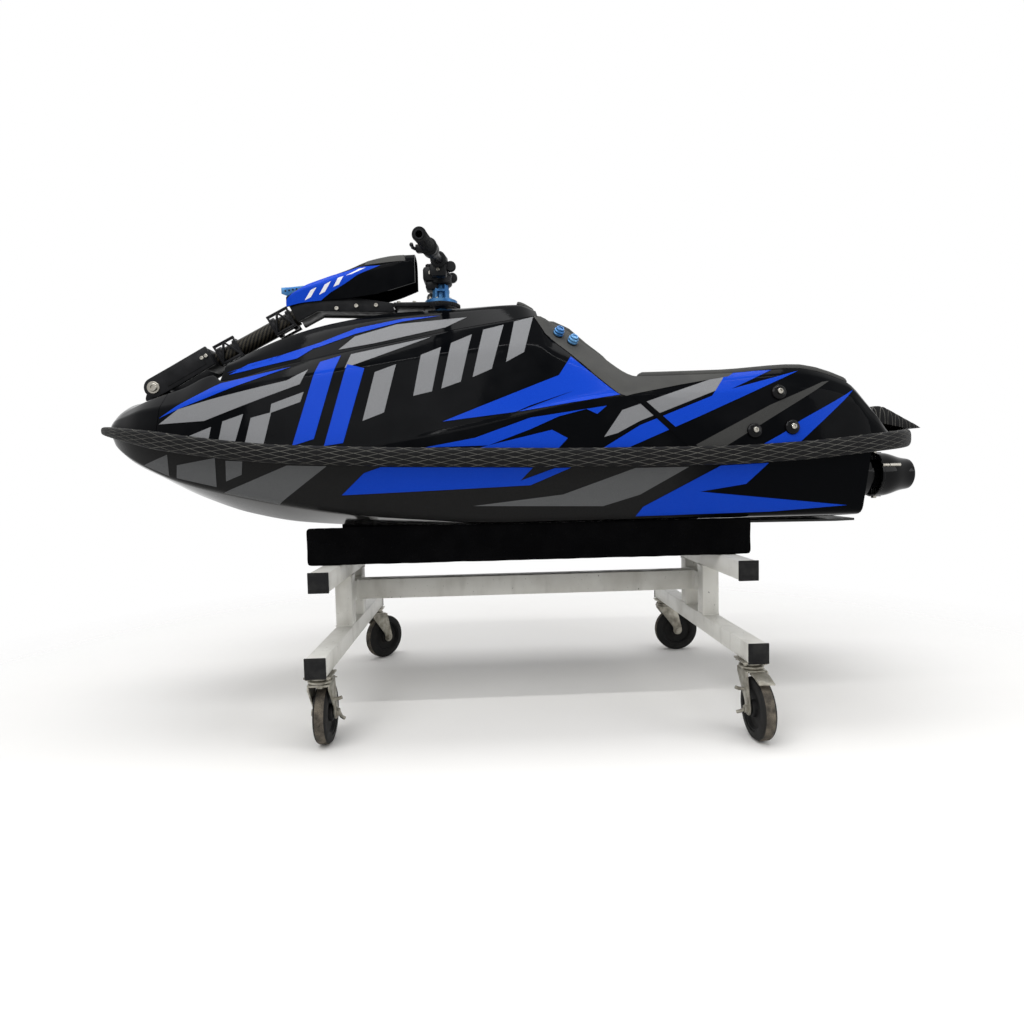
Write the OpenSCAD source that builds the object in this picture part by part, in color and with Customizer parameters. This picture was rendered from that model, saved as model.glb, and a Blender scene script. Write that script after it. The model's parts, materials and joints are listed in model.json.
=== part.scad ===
/* [Craft] */
// Wall of the hull and deck mouldings
wall = 7; // [4:0.5:12]
// Gap of the bond line between hull and deck
bond_gap = 0.3; // [0.2:0.1:1]
// Stand-off of the bumper from the bond line
bumper_t = 20; // [12:1:30]
// Height of the bumper
bumper_h = 44; // [30:1:60]
// Wall of the hood
hood_wall = 5; // [3:0.5:8]
// Thickness of the foam pads
pad_t = 11; // [6:1:16]
// Thickness of the tray mat
mat_t = 6; // [3:1:10]

/* [Pole] */
// Distance of the pole pivot behind the front of the bow deck
pivot_back = 130; // [120:1:140]
// Height of the pole pivot above the foot of its bracket
pivot_rise = 32.6; // [29:0.2:40]
// Radius of the pivot pin
pivot_r = 10; // [7:0.5:13]
// Distance from the pivot to the knee of the pole
pole_reach = 470; // [440:1:500]
// Outer radius of the pole tube
pole_tube_r = 22; // [18:0.5:26]
// Wall of the pole tube
pole_tube_wall = 3; // [2:0.5:5]
// Width between the yoke plates
yoke_gap = 96; // [80:1:110]
// Thickness of the yoke plates
yoke_t = 10; // [6:1:14]

/* [Steering] */
// Distance along the craft from the knee of the pole to the steering axis
steer_run = 336; // [320:1:356]
// Drop from the knee of the pole to the top of the steering plate
plate_drop = 1; // [0:0.2:10]
// Thickness of the steering plate
plate_t = 12; // [8:1:16]
// Gap between the hood and the steering plate over it
plate_clear = 14; // [10:0.5:22]
// Height of the handlebar above the top of the steering plate
bar_rise = 100; // [92:1:112]
// Outer radius of the handlebar
bar_r = 11; // [9:0.5:13]
// Wall of the handlebar
bar_wall = 3; // [2:0.5:4]
// Half width over the handlebar
bar_half = 352; // [320:1:380]
// Droop of the bar ends
bar_droop = 7; // [0:0.5:10]
// Turn of the bar ends towards the bow
bar_sweep = 5; // [0:0.5:8]
// Length of a grip
grip_len = 125; // [100:1:140]
// Outer radius of a grip
grip_r = 16; // [14:0.5:19]

/* [Jet drive] */
// Height of the pump axis
pump_z = 584; // [578:1:590]
// Outer radius of the pump housing
pump_r = 76; // [70:1:82]
// Bore radius of the pump
pump_bore_r = 68; // [60:1:72]
// Aft end of the pump housing
pump_end_x = 985; // [970:1:1000]
// Outlet end of the steering nozzle
nozzle_end_x = 1102; // [1094:1:1115]
// Outlet bore radius of the steering nozzle
outlet_r = 37; // [30:0.5:42]
// Wall of the steering nozzle
nozzle_wall = 4; // [3:0.5:6]
// Blades on the impeller
impeller_blades = 4; // [3:1:6]

/* [Stand] */
// Side of the square tube
tube = 45; // [40:1:50]
// Wall of the square tube
tube_wall = 3; // [2:0.5:5]
// Distance between the two end frames
frame_gap = 980; // [940:1:1020]
// Middle of the stand, along the craft
stand_x = 12; // [0:1:24]
// Length of a foot beam
foot_len = 810; // [760:1:860]
// Length of an arm
arm_len = 700; // [640:1:740]
// Distance between the posts of an end frame
post_gap = 150; // [120:1:200]
// Underside of the foot beams
foot_z = 172; // [172:1:172]
// Underside of the arms
arm_z = 351; // [340:1:360]
// Height of the spine beam
spine_h = 55; // [45:1:60]
// Underside of the spine beam
spine_z = 274; // [262:1:285]
// Length of a bunk
bunk_len = 1090; // [1040:1:1120]
// Width of a bunk
bunk_w = 68; // [50:1:80]
// Middle of a bunk, across
bunk_y = 201; // [195:1:205]

/* [Casters] */
// Radius of a caster wheel
wheel_r = 70; // [66:1:72]
// Width of a caster wheel
wheel_w = 32; // [26:1:36]
// Trail of a caster
trail = 38; // [30:1:45]
// Distance of a swivel axis from the end of its foot beam
caster_inset = 40; // [32:1:60]
// Running gap of the axles and swivels
fit_gap = 0.3; // [0.2:0.1:0.5]

/* [Hidden] */
$fn = 48;

black = "#15161a";
blue = "#1246cf";
silver = "#8d9094";
foam = "#3a3d40";
paint = "#d9d9d4";

// Hull sections from bow to transom.
// Columns: place, keel height, chine half width and height, bond line half width and height.
HULL = [
    [-1096, 724, 8, 734, 14, 749],
    [-1055, 668, 66, 700, 92, 740],
    [-961, 614, 136, 650, 168, 722],
    [-859, 560, 172, 610, 217, 703],
    [-734, 513, 200, 578, 255, 684],
    [-598, 486, 218, 549, 283, 668],
    [-440, 475, 230, 522, 299, 659],
    [-260, 470, 238, 504, 308, 652],
    [-60, 468, 240, 490, 312, 647],
    [120, 468, 240, 490, 313, 643],
    [450, 468, 240, 490, 308, 641],
    [650, 468, 240, 490, 298, 648],
    [836, 468, 236, 490, 280, 664]];
transom_x = HULL[len(HULL) - 1][0];
keel_z = HULL[8][1];
chine_y = HULL[8][2];
chine_z = HULL[8][3];

// Bond line behind the transom, around the tail.
// Columns: place, half width, height.
TAIL = [[836, 280, 664], [900, 254, 670], [948, 214, 675], [978, 172, 679], [1010, 116, 682]];
tail_x = TAIL[len(TAIL) - 1][0];

// Deck sections from bow to tail, half of each.
// Columns: place, then half width and height of the side crease, the step above it, the upper crease,
// the outer top edge, the inner top edge and the floor edge, and last the middle height.
DECK = [
    [-1088, 22, 755, 21, 757, 18, 761, 15, 764, 11, 766, 5, 767, 767],
    [-1060, 78, 753, 76, 757, 66, 767, 52, 777, 40, 786, 20, 797, 800],
    [-1010, 124, 746, 122, 750, 108, 775, 84, 794, 68, 803, 34, 816, 819],
    [-946, 170, 734, 168, 741, 150, 786, 112, 815, 98, 818, 50, 821, 821],
    [-853, 213, 720, 211, 727, 188, 792, 132, 841, 118, 843, 60, 824, 822],
    [-769, 241, 706, 239, 713, 212, 808, 146, 872, 128, 868, 60, 856, 854],
    [-740, 248, 704, 246, 711, 218, 818, 176, 853, 150, 846, 75, 846, 846],
    [-597, 279, 690, 276, 697, 234, 842, 186, 884, 160, 868, 80, 868, 868],
    [-440, 293, 676, 290, 683, 240, 862, 190, 917, 164, 896, 82, 896, 896],
    [-300, 298, 690, 293, 700, 240, 884, 192, 942, 166, 920, 83, 920, 920],
    [-150, 301, 714, 293, 724, 240, 904, 193, 970, 168, 946, 84, 946, 946],
    [-20, 301, 742, 286, 753, 240, 914, 193, 990, 168, 966, 84, 966, 966],
    [40, 300, 755, 282, 766, 240, 908, 190, 998, 170, 974, 85, 974, 974],
    [84, 299, 764, 280, 776, 241, 890, 158, 982, 140, 984, 70, 984, 984],
    [180, 294, 780, 276, 790, 246, 850, 186, 908, 164, 911, 82, 908, 906],
    [277, 290, 786, 280, 796, 262, 816, 242, 836, 198, 838, 178, 832, 830],
    [470, 286, 764, 280, 790, 264, 822, 250, 838, 200, 840, 180, 700, 694],
    [660, 280, 770, 274, 800, 258, 834, 244, 850, 196, 849, 178, 700, 696],
    [790, 268, 762, 262, 778, 250, 802, 236, 818, 190, 817, 174, 704, 702],
    [858, 261, 704, 257, 716, 247, 738, 234, 750, 188, 748, 172, 716, 716],
    [914, 236, 680, 232, 684, 226, 690, 214, 696, 180, 698, 160, 718, 718],
    [966, 182, 682, 178, 686, 172, 690, 164, 692, 146, 694, 110, 702, 704],
    [1010, 111, 688, 108, 691, 104, 694, 97, 696, 80, 697, 46, 698, 698]];
notch_x = -770;
hood_x0 = -738;
hood_x1 = 40;
// Share of a deck side that a rounded corner takes.
deck_round = 0.15;
// Gap that stands for the glue under the pads and the bumper.
glue = 0.6;

// Hood sections above the seam, half of each.
// Columns: place, then half width and height of the top edge and the shoulder, and last the middle height.
HOOD = [
    [-738, 142, 893, 108, 912, 926],
    [-597, 140, 936, 108, 970, 998],
    [-477, 138, 974, 108, 1004, 1022],
    [-322, 140, 1004, 110, 1028, 1036],
    [-150, 140, 1024, 112, 1036, 1042],
    [-4, 138, 1036, 112, 1043, 1046],
    [40, 140, 1020, 112, 1024, 1026]];

// Pole pivot, steering plate over the hood, knee and rise of the pole between them, steering axis and bar.
pivot_x = DECK[0][0] + pivot_back;
bracket_foot_z = max(DECK[3][13], DECK[4][13]) + 0.4;
pivot_z = bracket_foot_z + pivot_rise;
hood_top_z = HOOD[5][5];
plate_z = hood_top_z + plate_clear + plate_t;
knee_z = plate_z + plate_drop;
pole_rise = asin((knee_z - pivot_z) / pole_reach);
knee_x = pivot_x + pole_reach * cos(pole_rise);
steer_x = knee_x + steer_run;
bar_z = plate_z + bar_rise;

// Row of a table that lies at or before a place.
function row_at(t, x) = max(0, min(len(t) - 2, len([for (r = t) if (r[0] <= x) 1]) - 1));
// Mean slope between two rows of a table in one column.
function secant(t, i, c) = (t[i + 1][c] - t[i][c]) / (t[i + 1][0] - t[i][0]);
// Slope at a row that lets no curve overshoot.
function slope(t, i, c) =
    i == 0 ? secant(t, 0, c) :
    i == len(t) - 1 ? secant(t, i - 1, c) :
    secant(t, i - 1, c) * secant(t, i, c) <= 0 ? 0 :
    2 * secant(t, i - 1, c) * secant(t, i, c) / (secant(t, i - 1, c) + secant(t, i, c));
// Smooth value of one column of a table at a place.
function at(t, x, c) =
    let (i = row_at(t, x), d = t[i + 1][0] - t[i][0], u = min(1, max(0, (x - t[i][0]) / d)))
    (2 * u ^ 3 - 3 * u ^ 2 + 1) * t[i][c] + (u ^ 3 - 2 * u ^ 2 + u) * d * slope(t, i, c)
    + (3 * u ^ 2 - 2 * u ^ 3) * t[i + 1][c] + (u ^ 3 - u ^ 2) * d * slope(t, i + 1, c);

function unit(v) = v / max(1e-9, norm(v));
// Evenly spread places along a stretch.
function places(x0, x1, n) = [for (i = [0:n]) x0 + (x1 - x0) * i / n];
// Bond line at a place: half width and height.
function bond(x) = x <= transom_x ? [at(HULL, x, 4), at(HULL, x, 5)] : [at(TAIL, x, 1), at(TAIL, x, 2)];
// A run of corners with each inner corner cut by a share of its sides.
function rounded(p, s) = [p[0],
    for (i = [1:len(p) - 2]) each [p[i] + (p[i - 1] - p[i]) * s, p[i] + (p[i + 1] - p[i]) * s],
    p[len(p) - 1]];
// A half outline and its mirror image in one run, the middle point once.
function mirrored(h) = [each h, for (i = [len(h) - 2:-1:0]) [-h[i][0], h[i][1]]];
// The same run set inwards by a wall, with its ends moved level.
function inset(p, w) = [for (i = [0:len(p) - 1])
    i == 0 ? p[0] - [sign(p[0][0]) * w, 0] :
    i == len(p) - 1 ? p[i] - [sign(p[i][0]) * w, 0] :
    let (a = unit(p[i] - p[i - 1]), b = unit(p[i + 1] - p[i]),
        na = [-a[1], a[0]], nb = [-b[1], b[0]], m = unit(na + nb))
    p[i] + m * w / max(0.6, m * na)];
// Places a run of half widths and heights at a place along the craft.
function placed(x, p) = [for (q = p) [x, q[0], q[1]]];

// A closed sheet between two grids of points that match.
module sheet(outer, inner) {
    n = len(outer);
    m = len(outer[0]);
    k = n * m;
    faces = [
        for (i = [0:n - 2], j = [0:m - 2])
            let (a = i * m + j, b = a + m, c = b + 1, d = a + 1)
            each [[a, b, c], [a, c, d], [a + k, c + k, b + k], [a + k, d + k, c + k]],
        for (i = [0:n - 2])
            let (a = i * m, b = a + m, d = a + m - 1, c = d + m)
            each [[b, a, a + k], [b, a + k, b + k], [d, c, c + k], [d, c + k, d + k]],
        for (j = [0:m - 2])
            let (a = j, d = j + 1, b = (n - 1) * m + j, c = b + 1)
            each [[a, d, d + k], [a, d + k, a + k], [c, b, b + k], [c, b + k, c + k]]];
    polyhedron([for (r = outer) each r, for (r = inner) each r], faces, convexity = 8);
}

// A solid through closed rings of points, joined end to end when it is a loop.
module ring_loft(rings, loop = false) {
    n = len(rings);
    m = len(rings[0]);
    last = loop ? n - 1 : n - 2;
    faces = [
        for (i = [0:last], j = [0:m - 1])
            let (a = i * m + j, d = i * m + (j + 1) % m, b = ((i + 1) % n) * m + j,
                c = ((i + 1) % n) * m + (j + 1) % m)
            each [[a, b, c], [a, c, d]],
        if (!loop) for (j = [1:m - 2]) [0, j, j + 1],
        if (!loop) for (j = [1:m - 2]) [(n - 1) * m, (n - 1) * m + j + 1, (n - 1) * m + j]];
    polyhedron([for (r = rings) each r], faces, convexity = 8);
}

// Square tube along Y, its middle at the origin.
module square_tube(length, h = tube) {
    rotate([90, 0, 0]) linear_extrude(length, center = true) difference() {
        square([tube, h], center = true);
        square([tube - 2 * tube_wall, h - 2 * tube_wall], center = true);
    }
}

// Hull half section, bond line first, keel last.
function hull_half(x) = rounded([[at(HULL, x, 4), at(HULL, x, 5) - bond_gap],
    [at(HULL, x, 2), at(HULL, x, 3)], [0, at(HULL, x, 1)]], 0.12);
// Whole hull section from left to right.
function hull_run(x) = [for (q = mirrored(hull_half(x))) [-q[0], q[1]]];
// Cut-out in the transom around the pump, with as many points as a hull section.
function pump_run(n) = let (r = (pump_r + pump_gap) / cos(110 / (n - 1)))
    [for (i = [0:n - 1]) let (a = -200 + 220 * i / (n - 1)) [r * cos(a), pump_z + r * sin(a)]];
pump_gap = 0.5;
// Places along the craft that the mouldings and the bumper share, so that their edges run together.
bow_seam_x = -890;
bow_x = places(DECK[0][0], bow_seam_x - bond_gap, 9);
slope_x = 84;
rear_x = [each places(slope_x, transom_x, 19)];
tail_places = places(transom_x, tail_x, 5);
hood_places = places(hood_x0 - 2, hood_x1, 18);
deck_x = [each places(bow_seam_x, notch_x, 5), each hood_places, each rear_x,
    for (i = [1:len(tail_places) - 1]) tail_places[i]];
hull_x = [HULL[0][0], each bow_x, for (x = deck_x) if (x <= transom_x) x];

module hull() color(black) {
    n = len(hull_run(0));
    outer = [for (x = hull_x) placed(x, hull_run(x)), placed(transom_x, pump_run(n))];
    inner = [for (x = hull_x) placed(min(x, transom_x - wall), inset(hull_run(x), wall)),
        placed(transom_x - wall, pump_run(n))];
    difference() {
        sheet(outer, inner);
        translate([grate_x0, -grate_w / 2, keel_z - 5]) cube([grate_x1 - grate_x0, grate_w, 60]);
    }
}
grate_x0 = 330;
grate_x1 = 600;
grate_w = 130;

// Deck half section, bond line first, middle last.
function deck_half(x) = rounded([[bond(x)[0], bond(x)[1]],
    [at(DECK, x, 1), at(DECK, x, 2)], [at(DECK, x, 3), at(DECK, x, 4)], [at(DECK, x, 5), at(DECK, x, 6)],
    [at(DECK, x, 7), at(DECK, x, 8)], [at(DECK, x, 9), at(DECK, x, 10)],
    [at(DECK, x, 11), at(DECK, x, 12)], [0, at(DECK, x, 13)]], deck_round);
function deck_run(x) = mirrored(deck_half(x));

module deck() color(black) {
    sheet([for (x = deck_x) placed(x, deck_run(x))],
        [for (x = deck_x) placed(min(x, tail_x - wall), inset(deck_run(x), wall))]);
}

// Bow moulding ahead of the deck, closed behind the bumper, which carries the pole.
bow_tip_z = 762;
module bow_deck() color(black) {
    front = [for (q = deck_run(bow_x[0])) [0.1 * q[0], 0.9 * bow_tip_z + 0.1 * q[1]]];
    sheet([placed(bow_x[0] - 1, front), for (x = bow_x) placed(x, deck_run(x))],
        [placed(bow_x[0] + wall, front),
            for (x = bow_x) placed(max(x, bow_x[0] + wall), inset(deck_run(x), wall))]);
}

// Rim of the deck that the hood sits on.
function rim(x) = [at(DECK, x, 7), at(DECK, x, 8)] * (1 - deck_round)
    + [at(DECK, x, 9), at(DECK, x, 10)] * deck_round;
// Hood half section, seam first, middle last.
function hood_half(x) = rounded([rim(x) + [hood_wall, 0.4], [at(HOOD, x, 1), at(HOOD, x, 2)],
    [at(HOOD, x, 3), at(HOOD, x, 4)], [0, at(HOOD, x, 5)]], 0.2);
hood_stations = [hood_x0, for (x = hood_places) if (x > hood_x0) x];
// Lower edge of the wall that closes an end of the hood, just above the rim.
hood_lip = 3;
function hood_end(x, w) = [for (q = inset(mirrored(hood_half(x)), w)) [q[0], rim(x)[1] + hood_lip]];
module hood() color(black) {
    sheet([placed(hood_x0 - hood_lip, hood_end(hood_x0, 0)),
            for (x = hood_stations) placed(x, mirrored(hood_half(x))),
            placed(hood_x1 + hood_lip, hood_end(hood_x1, 0))],
        [placed(hood_x0 - hood_lip + hood_wall, hood_end(hood_x0, hood_wall)),
            for (x = hood_stations) placed(min(max(x, hood_x0 + hood_wall), hood_x1 - hood_wall),
                inset(mirrored(hood_half(x)), hood_wall)),
            placed(hood_x1 + hood_lip - hood_wall, hood_end(hood_x1, hood_wall))]);
}

// Bumper path in plan from the right stern corner round the bow to the left one.
bumper_x = [for (i = [len(deck_x) - 1:-1:1]) deck_x[i], for (i = [len(bow_x) - 1:-1:0]) bow_x[i], HULL[0][0]];
bumper_side = [for (x = bumper_x) [x, bond(x)[0], bond(x)[1]]];
bumper_path = [each bumper_side, for (i = [len(bumper_side) - 1:-1:0])
    [bumper_side[i][0], -bumper_side[i][1], bumper_side[i][2]]];
function bumper_out(i) = let (n = len(bumper_path), a = bumper_path[(i + n - 1) % n],
    b = bumper_path[(i + 1) % n], t = unit([b[0] - a[0], b[1] - a[1]])) [-t[1], t[0], 0];
// Half height of the bumper, which narrows to its tip ahead of the bow seam.
tip_share = 0.4;
function bumper_half(x) =
    bumper_h / 2 * (1 - (1 - tip_share) * max(0, bow_seam_x - x) / (bow_seam_x - HULL[0][0]));
function bumper_outline(h) = [[glue, -h], [0.6 * bumper_t, -h], [0.95 * bumper_t, -0.5 * h], [bumper_t, 0],
    [0.95 * bumper_t, 0.5 * h], [0.6 * bumper_t, h], [glue, h]];
module bumper() color(black) ring_loft([for (i = [0:len(bumper_path) - 1])
    [for (q = bumper_outline(bumper_half(bumper_path[i][0])))
        bumper_path[i] - bumper_out(i) * q[0] + [0, 0, q[1]]]], loop = true);

// Quilted wedge on the tail, over the deck and the top of the bumper.
tail_pad_half = 150;
tail_pad_h = 40;
tail_foot_z = DECK[20][13] + 6;
tail_top_z = bond(tail_x)[1] + bumper_h / 2 + glue;
module tail_pad() color(black) translate([0, tail_pad_half, 0]) rotate([90, 0, 0])
    linear_extrude(2 * tail_pad_half)
        polygon([[transom_x + 14, tail_foot_z], [transom_x + 76, tail_foot_z], [tail_x - 36, tail_foot_z - 13],
            [tail_x - 8, tail_top_z], [tail_x + 31, tail_top_z], [tail_x + 31, tail_top_z + 5],
            [tail_x - 64, tail_foot_z + tail_pad_h], [transom_x + 77, tail_foot_z + tail_pad_h]]);

// Grey foam on the slope behind the hood.
slope_end_x = 470;
pad_x = [hood_x1 + 26, for (x = rear_x) if (x < slope_end_x) x];
tray_x = 277;
// The pad narrows a little before the tray.
neck_x = tray_x - 40;
// Half width of the tray floor inside its rounded corners.
function floor_half(x) = (1 - deck_round) * at(DECK, x, 11) - 2;
// Height of the tray floor.
function floor_z(x, y) = at(DECK, x, 13) + (at(DECK, x, 12) - at(DECK, x, 13)) * y / at(DECK, x, 11);
function slope_run(x) = let (w = x < neck_x ? at(DECK, x, 9) : floor_half(max(x, tray_x)),
    z = glue + max(at(DECK, x, 12), at(DECK, x, 13), x < tray_x ? at(DECK, x, 10) : 0))
    [[w, z], [0.5 * w, z], [0, z], [-0.5 * w, z], [-w, z]];
module slope_pad() color(foam) {
    sheet([for (x = pad_x) placed(x, [for (q = slope_run(x)) q + [0, pad_t]])],
        [for (x = pad_x) placed(x, slope_run(x))]);
}

// Grey foam on top of the two gunwales.
rail_end_x = transom_x - 31;
rail_x = [for (x = rear_x) if (x > tray_x && x < rail_end_x) x];
function rail_run(x, s) = [[s * (at(DECK, x, 7) - 2), at(DECK, x, 8) + glue],
    [s * (at(DECK, x, 9) + 2), at(DECK, x, 10) + glue]];
module rail_pads() color(foam) for (s = [1, -1]) {
    run = [for (x = rail_x) placed(x, s > 0 ? rail_run(x, s) : [rail_run(x, s)[1], rail_run(x, s)[0]])];
    sheet([for (r = run) [for (q = r) q + [0, 0, pad_t]]], run);
}

// Mat on the tray floor.
mat_half = 146;
module tray_mat() color(black) {
    run = [for (x = rear_x) if (x > slope_end_x + 2) placed(x, [for (y = [mat_half, 0, -mat_half])
        [y, floor_z(x, abs(y)) + glue]])];
    sheet([for (r = run) [for (q = r) q + [0, 0, mat_t]]], run);
}

// Block on the bow deck that carries the pole pin.
bracket_half = yoke_gap / 2 - 5;
module pole_bracket() color(black) difference() {
    translate([0, bracket_half, 0]) rotate([90, 0, 0]) linear_extrude(2 * bracket_half) union() {
        translate([pivot_x, pivot_z]) circle(r = 22);
        polygon([[pivot_x - 22, pivot_z], [pivot_x - 30, bracket_foot_z], [pivot_x + 60, bracket_foot_z],
            [pivot_x + 22, pivot_z]]);
    }
    translate([pivot_x, 0, pivot_z]) rotate([90, 0, 0])
        cylinder(r = pivot_r + fit_gap, h = 3 * bracket_half, center = true);
}

pin_half = yoke_gap / 2 + yoke_t;
module pole_pin() color(silver) translate([pivot_x, 0, pivot_z]) rotate([90, 0, 0]) {
    cylinder(r = pivot_r, h = 2 * pin_half + 1, center = true);
    for (s = [0, 180]) rotate([s, 0, 0]) translate([0, 0, pin_half + fit_gap]) cylinder(r = 16, h = 7);
}

engine_x0 = -330;
engine_x1 = 100;
engine_w = 270;
engine_h = 320;
engine_z = keel_z + 52;
module engine() color(silver) translate([engine_x0, -engine_w / 2, engine_z])
    cube([engine_x1 - engine_x0, engine_w, engine_h]);

// Pump housing with its stator, and the tip that carries the steering nozzle.
pump_x0 = transom_x - 200;
tip_r = 42;
tip_bore_r = 36;
pivot_pin_r = 5;
shaft_r = 12;
stator_x = transom_x - 40;
stator_len = 60;
stator_vanes = 5;
module pump_housing() color(black) translate([0, 0, pump_z]) {
    rotate([0, 90, 0]) rotate_extrude() polygon([[pump_bore_r, pump_x0], [pump_r, pump_x0],
        [pump_r, pump_end_x - 59], [pump_r - 10, pump_end_x - 20], [tip_r, pump_end_x - 15],
        [tip_r, nozzle_pivot_x + 4], [tip_bore_r, nozzle_pivot_x + 4], [tip_bore_r, pump_end_x - 30],
        [pump_bore_r, pump_end_x - 85]]);
    translate([stator_x, 0, 0]) rotate([0, 90, 0]) difference() {
        union() {
            cylinder(r = 26, h = stator_len);
            for (i = [0:stator_vanes - 1]) rotate([0, 0, 360 * i / stator_vanes]) translate([20, -2, 0])
                cube([pump_bore_r - 18, 4, stator_len]);
        }
        translate([0, 0, -1]) cylinder(r = shaft_r + fit_gap, h = stator_len + 2);
    }
    for (s = [1, -1]) translate([nozzle_pivot_x, 0, s * (tip_r - 2)]) rotate([90 - s * 90, 0, 0])
        cylinder(r = pivot_pin_r, h = 18);
}

grate_bar = 8;
module intake_grate() color(silver) translate([0, 0, keel_z - 2]) {
    for (y = [-48:24:48]) translate([grate_x0 + fit_gap, y - grate_bar / 2, 0])
        cube([grate_x1 - grate_x0 - 2 * fit_gap, grate_bar, 12]);
    for (x = [grate_x0 + fit_gap, grate_x1 - fit_gap - grate_bar])
        translate([x, -grate_w / 2 + fit_gap, 0]) cube([grate_bar, grate_w - 2 * fit_gap, 12]);
}

ride_len = 300;
ride_half = 95;
ride_t = 6;
module ride_plate() color(silver)
    translate([grate_x1 + 6, 0, keel_z - ride_t - 0.3]) linear_extrude(ride_t)
        polygon([[0, 25 - ride_half], [0, ride_half - 25], [0.8 * ride_len, ride_half],
            [ride_len, ride_half - 15],
            [ride_len, 15 - ride_half], [0.8 * ride_len, -ride_half]]);

// Two blue fittings on the left shoulder of the deck, square to its skin.
// Place along the deck and lift off its curved skin.
fitting_places = [[90, 1.7], [124, 1.3]];
fitting_share = 0.68;
// Point on the left shoulder between the upper crease and the top edge.
function shoulder(x, t) = [x, -(1 - t) * at(DECK, x, 5) - t * at(DECK, x, 7),
    (1 - t) * at(DECK, x, 6) + t * at(DECK, x, 8)];
module primer_fittings() color(blue) for (p = fitting_places) {
    x = p[0];
    n = unit(cross(shoulder(x + 1, fitting_share) - shoulder(x - 1, fitting_share),
        shoulder(x, fitting_share + 0.1) - shoulder(x, fitting_share - 0.1)));
    translate(shoulder(x, fitting_share) + p[1] * n) rotate(acos(n[2]), [-n[1], n[0], 0]) {
        cylinder(r = 13, h = 16);
        cylinder(r = 10, h = 20);
    }
}

// Pole, drawn along X from its pivot and then raised.
module on_pole() translate([pivot_x, 0, pivot_z]) rotate([0, -pole_rise, 0]) children();
tube_start = 170;

// Yoke plates on the pin, joined by the block that takes the tube.
yoke_block = 34;
module pole_yoke() color(black) on_pole() {
    for (s = [-1, 1]) translate([0, s * (yoke_gap + yoke_t) / 2, 0]) rotate([90, 0, 0])
        linear_extrude(yoke_t, center = true) difference() {
            union() {
                circle(r = 26);
                polygon([[0, -26], [0, 26], [tube_start, 30], [tube_start, -22]]);
            }
            circle(r = pivot_r + fit_gap);
        }
    translate([tube_start - yoke_block, -yoke_gap / 2 - 1, -20]) cube([yoke_block, yoke_gap + 2, 48]);
}

// Knee block at the top of the tube and the lower arm to the steering plate.
arm_half = 40;
knee_len = 60;
module pole_arm() color(black) translate([0, arm_half, 0]) rotate([90, 0, 0])
    linear_extrude(2 * arm_half) union() {
    translate([pivot_x, pivot_z]) rotate(pole_rise) translate([pole_reach - knee_len, -24])
        square([knee_len + 10, 48]);
    polygon([[knee_x - 18, knee_z - 14], [knee_x + 10, knee_z - 22], [plate_x0, plate_z - 26],
        [plate_x0, plate_z - 2], [plate_x0 - 90, plate_z + 12], [knee_x, knee_z + 16]]);
}

module pole_tube() color("#26282c") on_pole() rotate([0, 90, 0]) translate([0, 0, tube_start]) difference() {
    cylinder(r = pole_tube_r, h = pole_reach - knee_len - tube_start);
    translate([0, 0, -1]) cylinder(r = pole_tube_r - pole_tube_wall, h = pole_reach);
}

// Two truss plates clamped around the tube, one near each end of it.
truss_len = 62;
truss_gap = 8;
module pole_trusses() color(black) on_pole()
    for (d = [tube_start + truss_gap, pole_reach - knee_len - truss_gap - truss_len])
    translate([d, 0, 0]) difference() {
        translate([0, -30, -26]) cube([truss_len, 60, 56]);
        rotate([0, 90, 0]) translate([0, 0, -1]) cylinder(r = pole_tube_r + 0.2, h = truss_len + 2);
        for (x = [16, truss_len - 16]) translate([x, 0, 0]) rotate([90, 0, 0])
            cylinder(r = 9, h = 80, center = true);
    }

// Cover shell that straddles the knee and rises to the bars.
// Columns: place behind the knee, height of the skirt and of the top above the steering plate, and how far
// a side stands off the arm.
COVER = [
    [-69, -10, 26, 0.3],
    [-29, 0, 50, 0.3],
    [31, 6, 72, 0.3],
    [91, 10, 92, 3],
    [151, 16, 114, 10],
    [211, 30, 126, 10],
    [271, 50, 131, 2]];
cover_wall = 4;
function cover_run(d) = let (b = plate_z + at(COVER, d, 1), t = plate_z + at(COVER, d, 2),
    w = arm_half + cover_wall + at(COVER, d, 3))
    mirrored([[w, b], [w, 0.6 * b + 0.4 * t], [w, 0.3 * b + 0.7 * t], [0.72 * w, t - 4], [0, t]]);
cover_d = places(COVER[0][0], COVER[len(COVER) - 1][0], 14);
module pole_cover() color(blue) sheet([for (d = cover_d) placed(knee_x + d, cover_run(d))],
    [for (d = cover_d) placed(knee_x + d, inset(cover_run(d), cover_wall))]);

plate_lead = 125;
plate_x0 = steer_x - plate_lead;
module steering_plate() color(black) translate([0, 0, plate_z - plate_t]) {
    difference() {
        linear_extrude(plate_t) union() {
            translate([steer_x, 0]) circle(r = 52);
            translate([plate_x0, -arm_half]) square([steer_x - plate_x0, 2 * arm_half]);
        }
        translate([steer_x, 0, -1]) cylinder(r = 12 + fit_gap, h = plate_t + 2);
    }
}

// Slotted fin on the front of the cover.
blade_t = 4;
blade_lead = 24;
module pole_blade() color(blue) translate([0, blade_t / 2, 0]) rotate([90, 0, 0]) linear_extrude(blade_t)
    polygon([[knee_x + cover_d[0] - blade_lead, plate_z + at(COVER, cover_d[0], 2) + 10],
        for (d = [cover_d[0], cover_d[1], cover_d[2]]) [knee_x + d, plate_z + at(COVER, d, 2) + 0.3],
        [knee_x + cover_d[2], plate_z + at(COVER, cover_d[2], 2) + 4],
        [knee_x + cover_d[0] - blade_lead, plate_z + at(COVER, cover_d[0], 2) + 26]]);

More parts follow.
